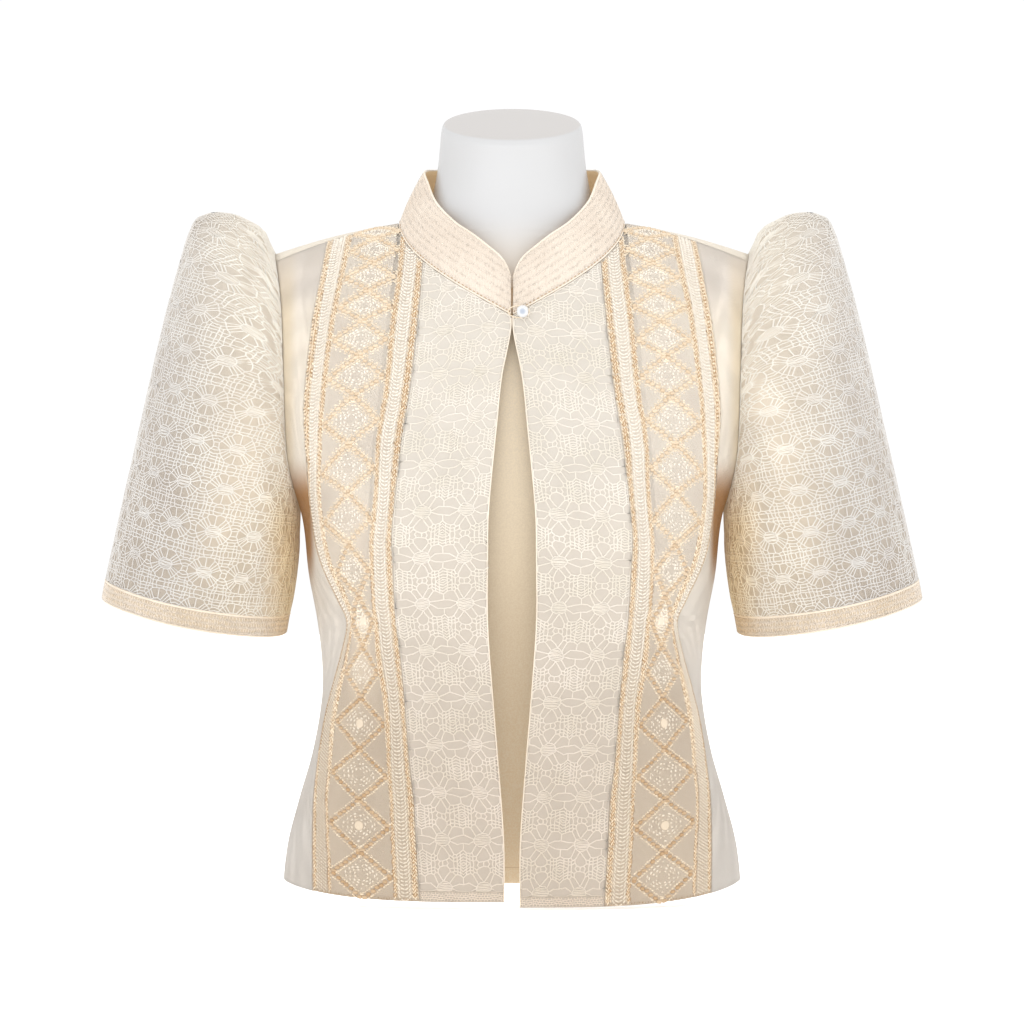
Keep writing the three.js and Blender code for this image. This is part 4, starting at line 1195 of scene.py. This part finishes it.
# ---------- stitches ----------
class Stitching:
    """Stitches gathered on a flat sheet, then worked as one piece."""

    def __init__(self, patch: Patch, seed: int = 1) -> None:
        """Takes the cloth that is stitched and the seed of the stitches' unevenness."""
        self.patch, self.chance = patch, np.random.default_rng(seed)
        self.rows: list[Array] = []

    def add(self, across: Array, up: Array, length: Array | float, width: Array | float,
            height: Array | float, turn: Array | float, shade: Array | float = 1.0,
            sway: float = 0.12) -> None:
        """Adds stitches whose places are true distances from the cloth's inner edge.

        Args:
            across: Distances of their middles from the inner edge.
            up: Distances up the sheet.
            length: Length of each.
            width: Width of each.
            height: How far each stands off the cloth.
            turn: Angle of each from the level, in degrees.
            shade: 1 for the thread's light colour, down to 0 for its dark one.
            sway: How uneven they are, as a share of their size.
        """
        across, up, length, width, height, turn, shade = (
            np.asarray(field, float).ravel()
            for field in np.broadcast_arrays(across, up, length, width, height, turn, shade))
        uneven = self.chance.uniform(-1, 1, (across.size, 5)) * sway
        span = self.patch.span(up)
        x = across + uneven[:, 0] * width
        keep = (x > 0.3) & (x < span - 0.3)
        flat_x = x / span * self.patch.width
        tall = length / 2 * np.abs(np.sin(np.radians(turn)))
        keep &= (up - tall > 0.2) & (up < self.patch.top(flat_x) - 1.2)
        rows = np.stack([
            flat_x, up + uneven[:, 1] * width, length * (1 + uneven[:, 2]), width * (1 + uneven[:, 3]),
            height, turn + uneven[:, 4] * 60, np.clip(shade + uneven[:, 2], 0, 1),
            self.patch.width / span,
        ], axis=1)
        self.rows.append(rows[keep])

    def work(self, name: str, sides: int = 5, rings: int = 3) -> bpy.types.Object:
        """Works all the stitches: one is modelled, and the rest are copies of it.

        Args:
            name: The piece's name.
            sides: Faces round a stitch.
            rings: Faces along half of its outline.

        Returns:
            The stitches, laid on the cloth.
        """
        deselect()
        bpy.ops.mesh.primitive_uv_sphere_add(segments=sides, ring_count=rings, radius=0.5)
        one = bpy.context.object
        shape = points_of(one)[:, [2, 0, 1]]
        faces = [list(face.vertices) for face in one.data.polygons]
        bpy.data.objects.remove(one)
        rows = np.concatenate(self.rows)
        turn = np.radians(rows[:, 5])[:, None]
        x = shape[:, 0] * rows[:, 2:3]
        y = shape[:, 1] * rows[:, 3:4]
        h = shape[:, 2] * 2 * rows[:, 4:5]
        flat = np.stack([rows[:, 0:1] + (x * np.cos(turn) - y * np.sin(turn)) * rows[:, 7:8],
                         rows[:, 1:2] + x * np.sin(turn) + y * np.cos(turn), h], axis=2)
        count = len(shape)
        everything = [[v + k * count for v in face] for k in range(len(rows)) for face in faces]
        piece = flat_piece(name, flat.reshape(-1, 3).tolist(), everything)
        if self.patch.flipped:
            piece.data.flip_normals()
        self.patch.wrap(piece)
        if self.patch.flipped:
            piece.data.flip_normals()
        take_up(piece)
        bpy.ops.object.mode_set(mode="EDIT")
        bpy.ops.mesh.select_all(action="SELECT")
        bpy.ops.mesh.normals_make_consistent(inside=False)
        leave_edit()
        shade = piece.data.attributes.new("shade", "FLOAT", "POINT")
        shade.data.foreach_set("value", np.repeat(rows[:, 6], count).astype(np.float32))
        piece.data.shade_smooth()
        return piece


def cord(name: str, path: Array, radius: float, sides: int = 8, ring: bool = False
         ) -> bpy.types.Object:
    """A thin thread along a path.

    Args:
        name: The piece's name.
        path: Its points, in metres.
        radius: Its radius, in metres.
        sides: Faces round it.
        ring: Whether its ends join.

    Returns:
        The thread, as a closed mesh.
    """
    curve = bpy.data.curves.new(name, "CURVE")
    curve.dimensions = "3D"
    curve.bevel_depth, curve.bevel_resolution = radius, max(sides // 2 - 2, 0)
    curve.use_fill_caps = not ring
    spline = curve.splines.new("POLY")
    spline.points.add(len(path) - 1)
    spline.points.foreach_set("co", np.concatenate([path, np.ones((len(path), 1))], axis=1).ravel())
    spline.use_cyclic_u = ring
    piece = bpy.data.objects.new(name, curve)
    take_up(place_in_scene(piece))
    bpy.ops.object.convert(target="MESH")
    piece.data.name = name
    piece.data.shade_smooth()
    return piece


# ---------- sub-assemblies ----------
@dataclass
class Side:
    """The wearer's right or left."""

    word: str
    sign: int
    centre_hem: float


RIGHT = Side("right", -1, 5.8)
LEFT = Side("left", 1, 2.2)


class Seams(Enum):
    """Edges of the front's pieces: rows of height and distance from the centre."""

    OPENING = ((0, 5.4), (50, 5.8), (101, 9.4), (145, 13), (206, 17.3), (256, 17.3), (289, 16.6),
               (351, 10.8), (386, 7.2), (421, 0.6), (440, 0.6))
    BAND_INNER = ((0, 66.5), (50, 69.6), (75, 70.8), (105, 74.5), (149, 78.1), (187, 81.6), (208, 84.4),
                  (225, 85.4), (252, 86.4), (270, 87), (326, 81.2), (345, 79), (370, 75), (389, 72.5),
                  (430, 68.5), (470, 65.5), (505, 64))
    BAND_OUTER = ((0, 146.2), (72, 147), (105, 144.2), (129, 140.7), (149, 136.2), (187, 125.2),
                  (208, 121.3), (221, 127), (253, 142), (285, 148.6), (326, 151), (350, 152.5),
                  (370, 152.6), (427, 147.3), (465, 141), (500, 136))

    def across(self, z: Array, shift: float = 0.0) -> Array:
        """Distance of the seam from the centre, moved out by `shift`."""
        return follow(self.value, z) + shift


def between(inner: Callable, outer: Callable) -> Callable:
    """Distance out at a share of the way between two edges."""
    return lambda share, z: inner(z) + (outer(z) - inner(z)) * share


@dataclass
class LaceFront:
    """One centre front: lace over a light lining, with a rolled edge down the opening."""

    side: Side
    body: BodyCloth
    dresser: Dresser
    width: float = 66.0
    hem_band: float = 8.0
    first_flower: tuple[float, float] = (16.0, 10.5)
    edge_radius: float = 0.5

    def build(self) -> None:
        """Makes and dresses the front."""
        word = self.side.word
        across = between(Seams.OPENING.across, lambda z: Seams.BAND_INNER.across(z, -HALF_SEAM))
        patch = Patch(self.body.lines(across, self.side.centre_hem, self.side.sign), self.width)
        shell = patch.shell(f"front_lining_{word}", CLOTH_WALL, 24, 120)
        self.dresser.dress(shell, Thread.LINING, "lace", f"lace_front_{word}")
        maker = NetMaker(patch, 11 + self.side.sign)
        net = FRONT_LACE.spread(f"front_lace_{word}", *self.first_flower, self.width, patch.tops.max())
        maker.work(net, FRONT_LACE, self.hem_band, 0.1)
        self.dresser.dress(net, Thread.LACE, "lace")
        hem = self.hem_lace(maker)
        edge = self.rolled_edge(patch)

    def hem_lace(self, maker: NetMaker) -> bpy.types.Object:
        """The dense band along the hem."""
        lace = fine_lace(2.6, 3.2, 0.9, 0.34, 0.2)
        band = lace.spread(f"front_hem_{self.side.word}", 0.0, 0.0, self.width, self.hem_band)
        points = points_of(band)
        select_only(band, "VERT", points[:, 1] > self.hem_band + 0.4)
        bpy.ops.mesh.delete(type="VERT")
        leave_edit()
        maker.work(band, lace, 0.4, 0.1)
        return self.dresser.dress(band, Thread.EDGING, "lace_edging")

    def rolled_edge(self, patch: Patch) -> bpy.types.Object:
        """The narrow rolled edge down the opening."""
        up = np.arange(0.5, float(patch.top(0.0)) - 0.5, 2.5)
        path = patch.at(np.full(len(up), 0.4), up, 0.1)
        edge = cord(f"front_edge_{self.side.word}", path, self.edge_radius * MM)
        return self.dresser.dress(edge, Thread.EDGING_CORD, "lace_edging")


@dataclass
class EmbroideredBand:
    """One band from hem to shoulder: four tan ropes, two white ribs and a field of diamonds."""

    side: Side
    body: BodyCloth
    dresser: Dresser
    width: float = 76.0
    lanes: Rows = (  # height, then widths: rope, rib and rope outside, rope, rib and rope inside
        (0, 3.6, 8.8, 4.0, 4.4, 11.4, 5.8), (32, 4.0, 8.4, 3.8, 4.4, 11.2, 5.8),
        (75, 3.8, 7.2, 3.6, 4.4, 11.6, 6.4), (105, 2.4, 8.4, 4.6, 4.8, 12.2, 5.0),
        (149, 1.6, 5.0, 5.6, 6.6, 10.4, 5.2), (186, 1.2, 3.0, 3.8, 6.0, 12.0, 6.2),
        (208, 1.0, 2.4, 2.8, 4.8, 12.0, 4.8), (223, 1.0, 4.4, 5.4, 4.2, 11.2, 5.4),
        (252, 1.0, 5.6, 6.2, 4.6, 11.2, 6.2), (282, 1.0, 8.6, 5.2, 5.4, 12.2, 5.6),
        (326, 3.4, 7.0, 4.8, 4.8, 11.8, 7.0), (370, 5.6, 8.0, 4.8, 5.4, 9.8, 7.0),
        (429, 6.4, 7.8, 5.4, 5.4, 10.6, 6.6), (475, 4.9, 10.0, 5.4, 5.2, 9.8, 5.6),
        (505, 4.9, 10.0, 5.4, 5.2, 9.8, 5.6),
    )
    crossings: tuple[float, ...] = (
        -33, 3.8, 40.7, 78.3, 114.6, 152, 189.7, 227.3, 265, 302, 337, 372.8, 402, 428, 451, 472,
        491, 500,
    )
    chain_below: float = 212.0  # the outer rib is a slanted chain below this height
    disc_below: float = 240.0  # only the diamonds below this have a disc

    def build(self) -> None:
        """Makes and dresses the band."""
        word = self.side.word
        across = between(lambda z: Seams.BAND_INNER.across(z, HALF_SEAM),
                         lambda z: Seams.BAND_OUTER.across(z, -HALF_SEAM))
        self.patch = Patch(self.body.lines(across, self.side.centre_hem, self.side.sign), self.width)
        ground = self.patch.shell(f"band_ground_{word}", CLOTH_WALL, 24, 108)
        self.dresser.dress(ground, Thread.GROUND, "embroidered_band", f"trim_band_{word}")
        ropes, ribs, field, seeds, discs = (Stitching(self.patch, seed) for seed in range(3, 8))
        self.work_ropes(ropes)
        self.work_ribs(ribs)
        self.work_diamonds(field, seeds, discs)
        self.work_hem(field)
        pieces = [
            self.dresser.dress(made.work(f"{name}_{word}", sides, rings), finish, "embroidered_band")
            for made, name, finish, sides, rings in (
                (ropes, "band_ropes", Thread.TAN, 4, 3), (ribs, "band_ribs", Thread.WHITE, 4, 3),
                (field, "band_diamonds", Thread.TAN, 4, 3), (seeds, "band_seeds", Thread.WHITE, 4, 3),
                (discs, "band_discs", Thread.WHITE, 12, 10))
        ]

    def lane(self, number: int, up: Array) -> tuple[Array, Array]:
        """Inner edge and width of a lane at places up the band.

        Args:
            number: 1 to 3 for the outer rope, rib and rope, 4 for the field, and 5 to 7 for the
                rope, rib and rope on its inner side.
            up: Distances up the sheet.

        Returns:
            The lane's distance from the band's inner edge, and its width.
        """
        z = self.patch.height_at(up)
        outer = [follow(self.lanes, z, k) for k in (1, 2, 3)]
        inner = [follow(self.lanes, z, k) for k in (4, 5, 6)]
        span = self.patch.span(up)
        if number >= 5:
            return sum(inner[number - 4:], np.zeros_like(up)), inner[number - 5]
        if number == 4:
            return sum(inner), span - sum(inner) - sum(outer)
        return span - sum(outer[:number]), outer[number - 1]

    def run(self, pitch: float, shift: float = 0.0) -> Array:
        """Places up the whole band at a pitch."""
        return np.arange(1.0 + shift * pitch, self.patch.tops.max(), pitch)

    def work_ropes(self, stitching: Stitching) -> None:
        """Four tan ropes, each a braid of slanting stitches over a dark core that paints the shade between
        them.
        """
        for number in (1, 3, 5, 7):
            up = self.run(3.4)
            start, wide = self.lane(number, up)
            # painted shade: the dark core stands in for the shade between the stitches
            stitching.add(start + wide / 2, up, 4.6, wide * 0.9, 0.3, 90, 0.05)
            for column, turn in ((0, 1), (1, -1), (2, 1)):
                up = self.run(2.7, column * 0.5)
                start, wide = self.lane(number, up)
                up, start, wide = (rows[wide > 2.2 * column] for rows in (up, start, wide))
                stout = np.clip(wide / 5, 0.35, 1.15)
                light = 0.95 - 0.3 * (np.arange(len(up)) % 2)
                stitching.add(start + wide * (0.2 + 0.3 * column), up, 3.5, 1.15 * stout,
                              0.95 * stout, 90 + 30 * turn * self.side.sign, light, 0.16)

    def work_ribs(self, stitching: Stitching) -> None:
        """Two white ribs: hanging garlands, or a slanted chain low on the outer one."""
        for number, pitch in ((6, 2.7), (2, 2.5)):
            up = self.run(pitch)
            if number == 2:
                up = up[self.patch.height_at(up) > self.chain_below]
            start, wide = self.lane(number, up)
            for column, turn, rise in ((0.1, -56, 0.19), (0.35, -20, 0.0), (0.65, 20, 0.0),
                                       (0.9, 56, 0.19)):
                stitching.add(start + wide * column, up + rise * wide, 0.36 * wide, 1.35, 0.85,
                              turn, 0.95)
        for column in range(5):
            up = self.run(2.4, 0.5 * (column % 2))
            up = up[self.patch.height_at(up) <= self.chain_below]
            start, wide = self.lane(2, up)
            stitching.add(start + wide * (0.1 + 0.2 * column), up, 2.4, np.clip(0.115 * wide, 0.45, 0.95),
                          0.95, -48 * self.side.sign, 0.95 - 0.2 * (column % 2))

    def work_hem(self, tan: Stitching) -> None:
        """A row of small dark stitches along the hem."""
        across = np.arange(1.2, self.patch.span(1.0) - 1.0, 2.3)
        tan.add(across, np.full(len(across), 1.3), 1.5, 0.9, 0.7, 20, 0.1, 0.3)

    def work_diamonds(self, tan: Stitching, seeds: Stitching, discs: Stitching) -> None:
        """Diamonds of slanting beads, with a rosette or a disc of white in each."""
        for order, (low_z, high_z) in enumerate(zip(self.crossings, self.crossings[1:])):
            low, high = self.patch.up_at(np.array([low_z, high_z], float))
            if low_z < 0:
                low = high - 36.0
            middle = (low + high) / 2
            start, wide = self.lane(4, np.maximum([low, middle, high], 0))
            centre = start + wide / 2
            light = 0.16 + 0.38 * min(max((middle - 120) / 200, 0), 1)
            for way in (-1, 1):
                corner = centre[1] + way * (wide[1] / 2 - 0.4)
                self.work_side(tan, (centre[0], low), (corner, middle), light)
                self.work_side(tan, (corner, middle), (centre[2], high), light)
            if wide[1] > 16 and low_z > 0:
                self.work_centre(seeds, centre[1], middle, wide[1] / 2, (high - low) / 2)
                if order % 2 == 0 and low_z < self.disc_below:
                    discs.add(centre[1], middle, 7.4, 7.2, 0.6, 0, 0.2, 0.0)
            elif low_z > 0:
                up = np.arange(low + 2, high - 2, 2.2)
                beside = np.where(np.arange(len(up)) % 2, 1.3, -1.3)
                seeds.add(centre[1] + beside, up, 2.0, 1.4, 0.6, 20, 0.9)

    @staticmethod
    def work_side(tan: Stitching, begin: tuple[float, float], end: tuple[float, float],
                  light: float) -> None:
        """One side of a diamond: dark beads flanked by finer rows that are lighter."""
        begin, end = np.array(begin), np.array(end)
        way = end - begin
        run = np.linalg.norm(way)
        slope = (math.degrees(math.atan2(way[1], way[0])) + 90) % 180 - 90
        off = np.array([-way[1], way[0]]) / run
        count = max(int(round(run / 4.3)), 2)
        share = ((np.arange(count) + 0.5) / count)[:, None]
        beads = begin + way * share
        tan.add(beads[:, 0], beads[:, 1], 5.2, 3.5, 1.5, slope * 0.25, light)
        rows = ((-2.5, 2, 0.8), (2.5, 2, 0.8))
        if light >= 0.3:
            rows += ((-4.2, 1, 0.9), (4.2, 1, 0.9))
        for beside, often, shade in rows:
            share = ((np.arange(count * often) + 0.5) / (count * often))[:, None]
            row = begin + way * share + off * beside
            tan.add(row[:, 0], row[:, 1], 2.0, 1.4, 0.6, slope * 0.4, shade, 0.2)

    @staticmethod
    def work_centre(seeds: Stitching, x: float, y: float, half: float, tall: float) -> None:
        """The middle of a diamond: rings of white seeds that keep to its shape."""
        for share, count in ((0.26, 8), (0.4, 13), (0.54, 18)):
            turn = (np.arange(count) + 0.5) / count * 2 * math.pi
            square = np.maximum(np.abs(np.cos(turn)) + np.abs(np.sin(turn)), 1)
            across = np.cos(turn) / square * half * share * 1.12
            up = np.sin(turn) / square * tall * share * 1.12
            seeds.add(x + across, y + up, 2.5, 1.7, 0.7, np.degrees(turn) + 90, 0.7, 0.2)


@dataclass
class SideFront:
    """One side front: plain cloth from the band to the side seam and the armhole."""

    side: Side
    body: BodyCloth
    dresser: Dresser

    def build(self) -> None:
        """Makes and dresses the side front."""
        across = between(lambda z: Seams.BAND_OUTER.across(z, HALF_SEAM), self.body.side_x)
        patch = Patch(self.body.lines(across, self.side.centre_hem, self.side.sign), 30.0)
        shell = patch.shell(f"side_cloth_{self.side.word}", CLOTH_WALL, 18, 120)
        self.dresser.dress(shell, Thread.PLAIN, "plain_cloth", f"side_front_{self.side.word}")


@dataclass
class Back:
    """The back: one plain piece that wraps over the shoulders to a yoke seam."""

    body: BodyCloth
    dresser: Dresser
    width: float = 420.0

    def build(self) -> None:
        """Makes and dresses the back."""
        lines = self.body.lines(lambda share, z: share * self.body.side_x(z), 4.0, 0, back=True)
        patch = Patch(lines, self.width)
        shell = patch.shell("back_cloth", CLOTH_WALL, 78, 84)
        self.dresser.dress(shell, Thread.BACK, "plain_cloth", "back_panel")


@dataclass
class Collar:
    """The stand collar: fine crinkled lace, with a line of tan stitches along its seam."""

    body: BodyCloth
    dresser: Dresser
    width: float = 500.0

    def build(self) -> None:
        """Makes and dresses the collar."""
        patch = Patch(CollarCloth(self.body).lines(161), self.width)
        shell = patch.shell("collar_cloth", COLLAR_WALL, 180, 14)
        self.dresser.dress(shell, Thread.EDGING_CLOTH, "lace_edging", "collar")
        self.face(shell)
        lace = fine_lace(2.4, 11.0, 3.3, 0.3, 0.6)
        net = lace.spread("collar_lace", 0.0, 0.0, self.width, patch.tops.max())
        NetMaker(patch, 21, 4.5).work(net, lace, 0.6, 0.05)
        self.dresser.dress(net, Thread.EDGING, "lace_edging")
        seam = Stitching(patch, 8)
        across = np.arange(1.5, self.width - 1.5, 3.1)
        seam.add(across * patch.span(1.0) / self.width, 1.3, 2.2, 0.8, 0.95, 0, 0.1, 0.08)
        stitches = seam.work("collar_seam")
        self.dresser.dress(stitches, Thread.TAN, "lace_edging")
        along = np.linspace(0.5, self.width - 0.5, 240)
        edge = cord("collar_edge", patch.at(along, patch.top(along) - 0.2, -0.6), 0.95 * MM)
        piping = cord("collar_piping", patch.at(along, np.full(240, 0.1), -0.1), 0.6 * MM)
        for trim in (edge, piping):
            self.dresser.dress(trim, Thread.EDGING_CORD, "lace_edging")

    def face(self, shell: bpy.types.Object) -> None:
        """Gives the collar's inner side a tan: painted shade inside the collar."""
        shell.data.materials.append(self.dresser.material(Thread.FACING))
        for face in shell.data.polygons:
            out = face.center.x * face.normal.x + (face.center.y - MIDDLE_Y * MM) * face.normal.y
            face.material_index = int(out < 0)


@dataclass
class Sleeve:
    """A butterfly sleeve: lace over organza, with a dense lace edging at the cuff."""

    side: Side
    body: BodyCloth
    dresser: Dresser
    repeats: int = 15
    first_row: float = 28.5
    columns: int = 145
    middle_x: float = 225.0  # the upright line that the sleeve goes round
    cuff_x: float = 235.0
    roll_points: int = 120
    roll_radius: float = 0.95

    def build(self) -> None:
        """Makes and dresses the sleeve."""
        word, sign = self.side.word, self.side.sign
        cloth = SleeveCloth(self.body)
        width = self.repeats * SLEEVE_LACE.width
        low = cloth.hem_share - cloth.hem_space
        lines = cloth.lines(sign, low, 0.0, self.columns)
        patch = Patch(lines, width, (sign * self.middle_x, 0.0), ring=True)
        shell = patch.shell(f"sleeve_lining_{word}", CLOTH_WALL, 84, 48)
        self.dresser.dress(shell, Thread.SLEEVE, "lace", f"sleeve_{word}")
        net = SLEEVE_LACE.spread(f"sleeve_lace_{word}", SLEEVE_LACE.width * 0.1, self.first_row, width,
                                 patch.tops.max())
        NetMaker(patch, 31 + sign).work(net, SLEEVE_LACE, 0.3, 0.1)
        self.dresser.dress(net, Thread.SLEEVE_LACE, "lace")
        self.build_cuff(cloth, width)

    def build_cuff(self, cloth: SleeveCloth, width: float) -> None:
        """The edging at the cuff, with its rolled hem."""
        word, sign = self.side.word, self.side.sign
        lines = cloth.lines(sign, 1.0, cloth.hem_share + cloth.hem_space, self.columns)
        patch = Patch(lines, width, (sign * self.cuff_x, 0.0), ring=True)
        shell = patch.shell(f"cuff_band_{word}", CLOTH_WALL, 96, 4)
        self.dresser.dress(shell, Thread.CUFF_CLOTH, "lace_edging", f"sleeve_hem_{word}")
        lace = fine_lace(2.4, 8.0, 3.0, 0.46, 0.6)
        net = lace.spread(f"cuff_lace_{word}", 0.0, 0.0, width, patch.tops.max())
        NetMaker(patch, 41 + sign).work(net, lace, 0.5, 0.08)
        self.dresser.dress(net, Thread.CUFF, "lace_edging")
        across = np.linspace(0, width, self.roll_points + 1)[:-1]
        radius = self.roll_radius * MM
        low_line = patch.at(across, np.full(self.roll_points, 0.3), -0.6)
        roll = cord(f"cuff_roll_{word}", low_line, radius, ring=True)
        high_line = patch.at(across, patch.top(across) + 0.2, -0.1)
        piping = cord(f"cuff_piping_{word}", high_line, radius, ring=True)
        for trim in (roll, piping):
            self.dresser.dress(trim, Thread.CUFF_CORD, "lace_edging")


@dataclass
class Fastening:
    """The pearl button and the twisted thread loop that holds it."""

    dresser: Dresser
    dimple: float = 0.35
    strands: int = 2
    twists: int = 13
    strand: float = 0.26

    def build(self) -> None:
        """Makes and dresses the pearl and the loop."""
        self.build_pearl()
        self.build_loop()

    def build_pearl(self) -> None:
        """A round pearl, drilled from side to side."""
        low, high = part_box("pearl_button")
        centre, radius = (low + high) / 2, (high - low).z / 2
        deselect()
        bpy.ops.mesh.primitive_uv_sphere_add(segments=32, ring_count=20, radius=radius,
                                             rotation=(0, math.pi / 2, 0))
        pearl = bpy.context.object
        bpy.ops.object.transform_apply(location=False, rotation=True, scale=False)
        pearl.name = pearl.data.name = "pearl"
        points = points_of(pearl)
        drilled = np.abs(points[:, 0]) > radius * 0.985
        points[:, 0] = np.where(drilled, np.sign(points[:, 0]) * radius * (1 - self.dimple), points[:, 0])
        set_points(pearl, points + np.array(centre))
        apply_modifier(pearl, "SUBSURF", levels=1, render_levels=1)
        pearl.data.shade_smooth()
        self.dresser.dress(pearl, NacreFinish(), "pearl", "pearl_button")

    def build_loop(self) -> None:
        """Two strands twisted round the loop's own line."""
        low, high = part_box("button_loop")
        centre, half = (low + high) / 2, (high - low) / 2
        wire = half.y
        turn = np.linspace(0, 2 * math.pi, 157)[:-1]
        pieces = []
        for strand in range(self.strands):
            twist = turn * self.twists + strand * 2 * math.pi / self.strands
            off = wire - self.strand * MM
            reach_x = half.x - wire + off * np.cos(twist)
            reach_z = half.z - wire + off * np.cos(twist)
            path = np.stack([centre.x + reach_x * np.cos(turn), centre.y + off * np.sin(twist),
                             centre.z + reach_z * np.sin(turn)], axis=1)
            pieces.append(cord("loop", path, self.strand * MM, sides=6, ring=True))
        deselect()
        for piece in pieces:
            piece.select_set(True)
        bpy.context.view_layer.objects.active = pieces[0]
        bpy.ops.object.join()
        loop = bpy.context.object
        loop.name = loop.data.name = "thread_loop"
        flat_shade = loop.data.attributes.new("shade", "FLOAT", "POINT")
        flat_shade.data.foreach_set("value", np.full(len(loop.data.vertices), 0.8, np.float32))
        self.dresser.dress(loop, Thread.TAN, "loop_thread", "button_loop")


@dataclass
class DressForm:
    """The limbless form: the CAD shape, smoothed, standing on its own flat base."""

    dresser: Dresser
    neck_z: float = 520.0
    neck: tuple[float, float] = (61.5, 52.4)  # its half width and half depth there
    neck_run: float = 62.0  # how far below that it widens into the chest
    neck_flare: float = 7.6

    def build(self) -> None:
        """Makes and dresses the form."""
        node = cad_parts["dress_form"]
        form = bpy.data.objects.new("form_body", node.data.copy())
        place_in_scene(form)
        merge_close(form, 1e-6)
        select_only(form, "FACE", all_faces(form))
        bpy.ops.mesh.tris_convert_to_quads(face_threshold=0.9, shape_threshold=0.9)
        leave_edit()
        ends = points_of(form)[edges_of(form)]
        crease = form.data.attributes.new("crease_edge", "FLOAT", "EDGE")
        base = (ends[:, :, 2].max(axis=1) < 1e-5).astype(np.float32)
        crease.data.foreach_set("value", base)
        apply_modifier(form, "SUBSURF", levels=2, render_levels=2)
        points = points_of(form)
        x, y, z = points[:, 0] / MM, points[:, 1] / MM - MIDDLE_Y, points[:, 2] / MM
        down = np.clip((self.neck_z - z) / self.neck_run, 0, 1)
        flare = self.neck_flare * down ** 1.5
        share = np.hypot(x / (self.neck[0] + flare), y / (self.neck[1] + flare))
        inside = (down > 0) & (down < 1) & (share < 1) & (share > 0.3)
        push = np.where(inside, 1 + (1 / np.maximum(share, 0.3) - 1) * np.clip(-y / 20, 0, 1), 1)
        points[:, 0] *= push
        points[:, 1] = (y * push + MIDDLE_Y) * MM
        set_points(form, points)
        select_only(form, "VERT", (down > 0) & (down < 1) & (share < 1.25) & (y < 5))
        bpy.ops.mesh.vertices_smooth(factor=0.5, repeat=12)
        leave_edit()
        form.data.shade_smooth()
        self.dresser.dress(form, FormFinish(), "form_plastic", "dress_form")


# ---------- studio ----------
@dataclass(frozen=True)
class Studio:
    """A plain pale floor in soft light, with the camera level with the waist."""

    distance: float = 2.8
    eye: float = 0.288
    lens: float = 131.25
    floor: float = 12.0
    key: float = 0.56
    fill: float = 0.51
    sky: float = 1.03
    table_light: float = 0.5  # the floor is a light table, so that it shows no hard shadow

    def build(self) -> None:
        """Sets up the camera, the floor and the lights."""
        data = bpy.data.cameras.new("camera")
        data.lens, data.sensor_width, data.clip_end = self.lens, 36.0, 50.0
        camera = bpy.data.objects.new("camera", data)
        camera.location = (0, MIDDLE_Y * MM - self.distance, self.eye)
        camera.rotation_euler = (math.pi / 2, 0, 0)
        bpy.context.scene.camera = place_in_scene(camera)
        bpy.context.scene.view_settings.view_transform = "Standard"
        self.lay_floor()
        self.light("key", self.key, 60, (math.radians(66), 0, math.radians(-26)))
        self.light("fill", self.fill, 70, (math.radians(68), 0, math.radians(34)))
        world = bpy.data.worlds.new("studio")
        world.use_nodes = True
        sky = world.node_tree.nodes["Background"]
        sky.inputs["Color"].default_value = (1, 1, 1, 1)
        sky.inputs["Strength"].default_value = self.sky
        bpy.context.scene.world = world

    def lay_floor(self) -> None:
        """The floor, a wide pale sheet."""
        deselect()
        bpy.ops.mesh.primitive_plane_add(size=self.floor)
        floor = bpy.context.object
        floor.name = floor.data.name = "floor"
        nodes = Nodes("floor_paper")
        nodes.shade(Base_Color=(0.93, 0.93, 0.93, 1), Roughness=0.95, Emission_Color=(1, 1, 1, 1),
                    Emission_Strength=self.table_light)
        floor.data.materials.append(nodes.material)

    @staticmethod
    def light(name: str, strength: float, spread: float, turn: tuple[float, float, float]) -> None:
        """A wide soft light from far off."""
        data = bpy.data.lights.new(name, "SUN")
        data.energy, data.angle = strength, math.radians(spread)
        lamp = bpy.data.objects.new(name, data)
        lamp.rotation_euler = turn
        place_in_scene(lamp)


def main() -> None:
    """Builds the studio and the blouse, piece by piece."""
    logging.basicConfig(level=logging.INFO, format="%(message)s")
    deselect()
    Studio().build()
    body, dresser = BodyCloth(), Dresser()
    DressForm(dresser).build()
    Back(body, dresser).build()
    for side in (RIGHT, LEFT):
        SideFront(side, body, dresser).build()
        LaceFront(side, body, dresser).build()
        EmbroideredBand(side, body, dresser).build()
        Sleeve(side, body, dresser).build()
    Collar(body, dresser).build()
    Fastening(dresser).build()
    deselect()


if __name__ == "__main__":
    main()
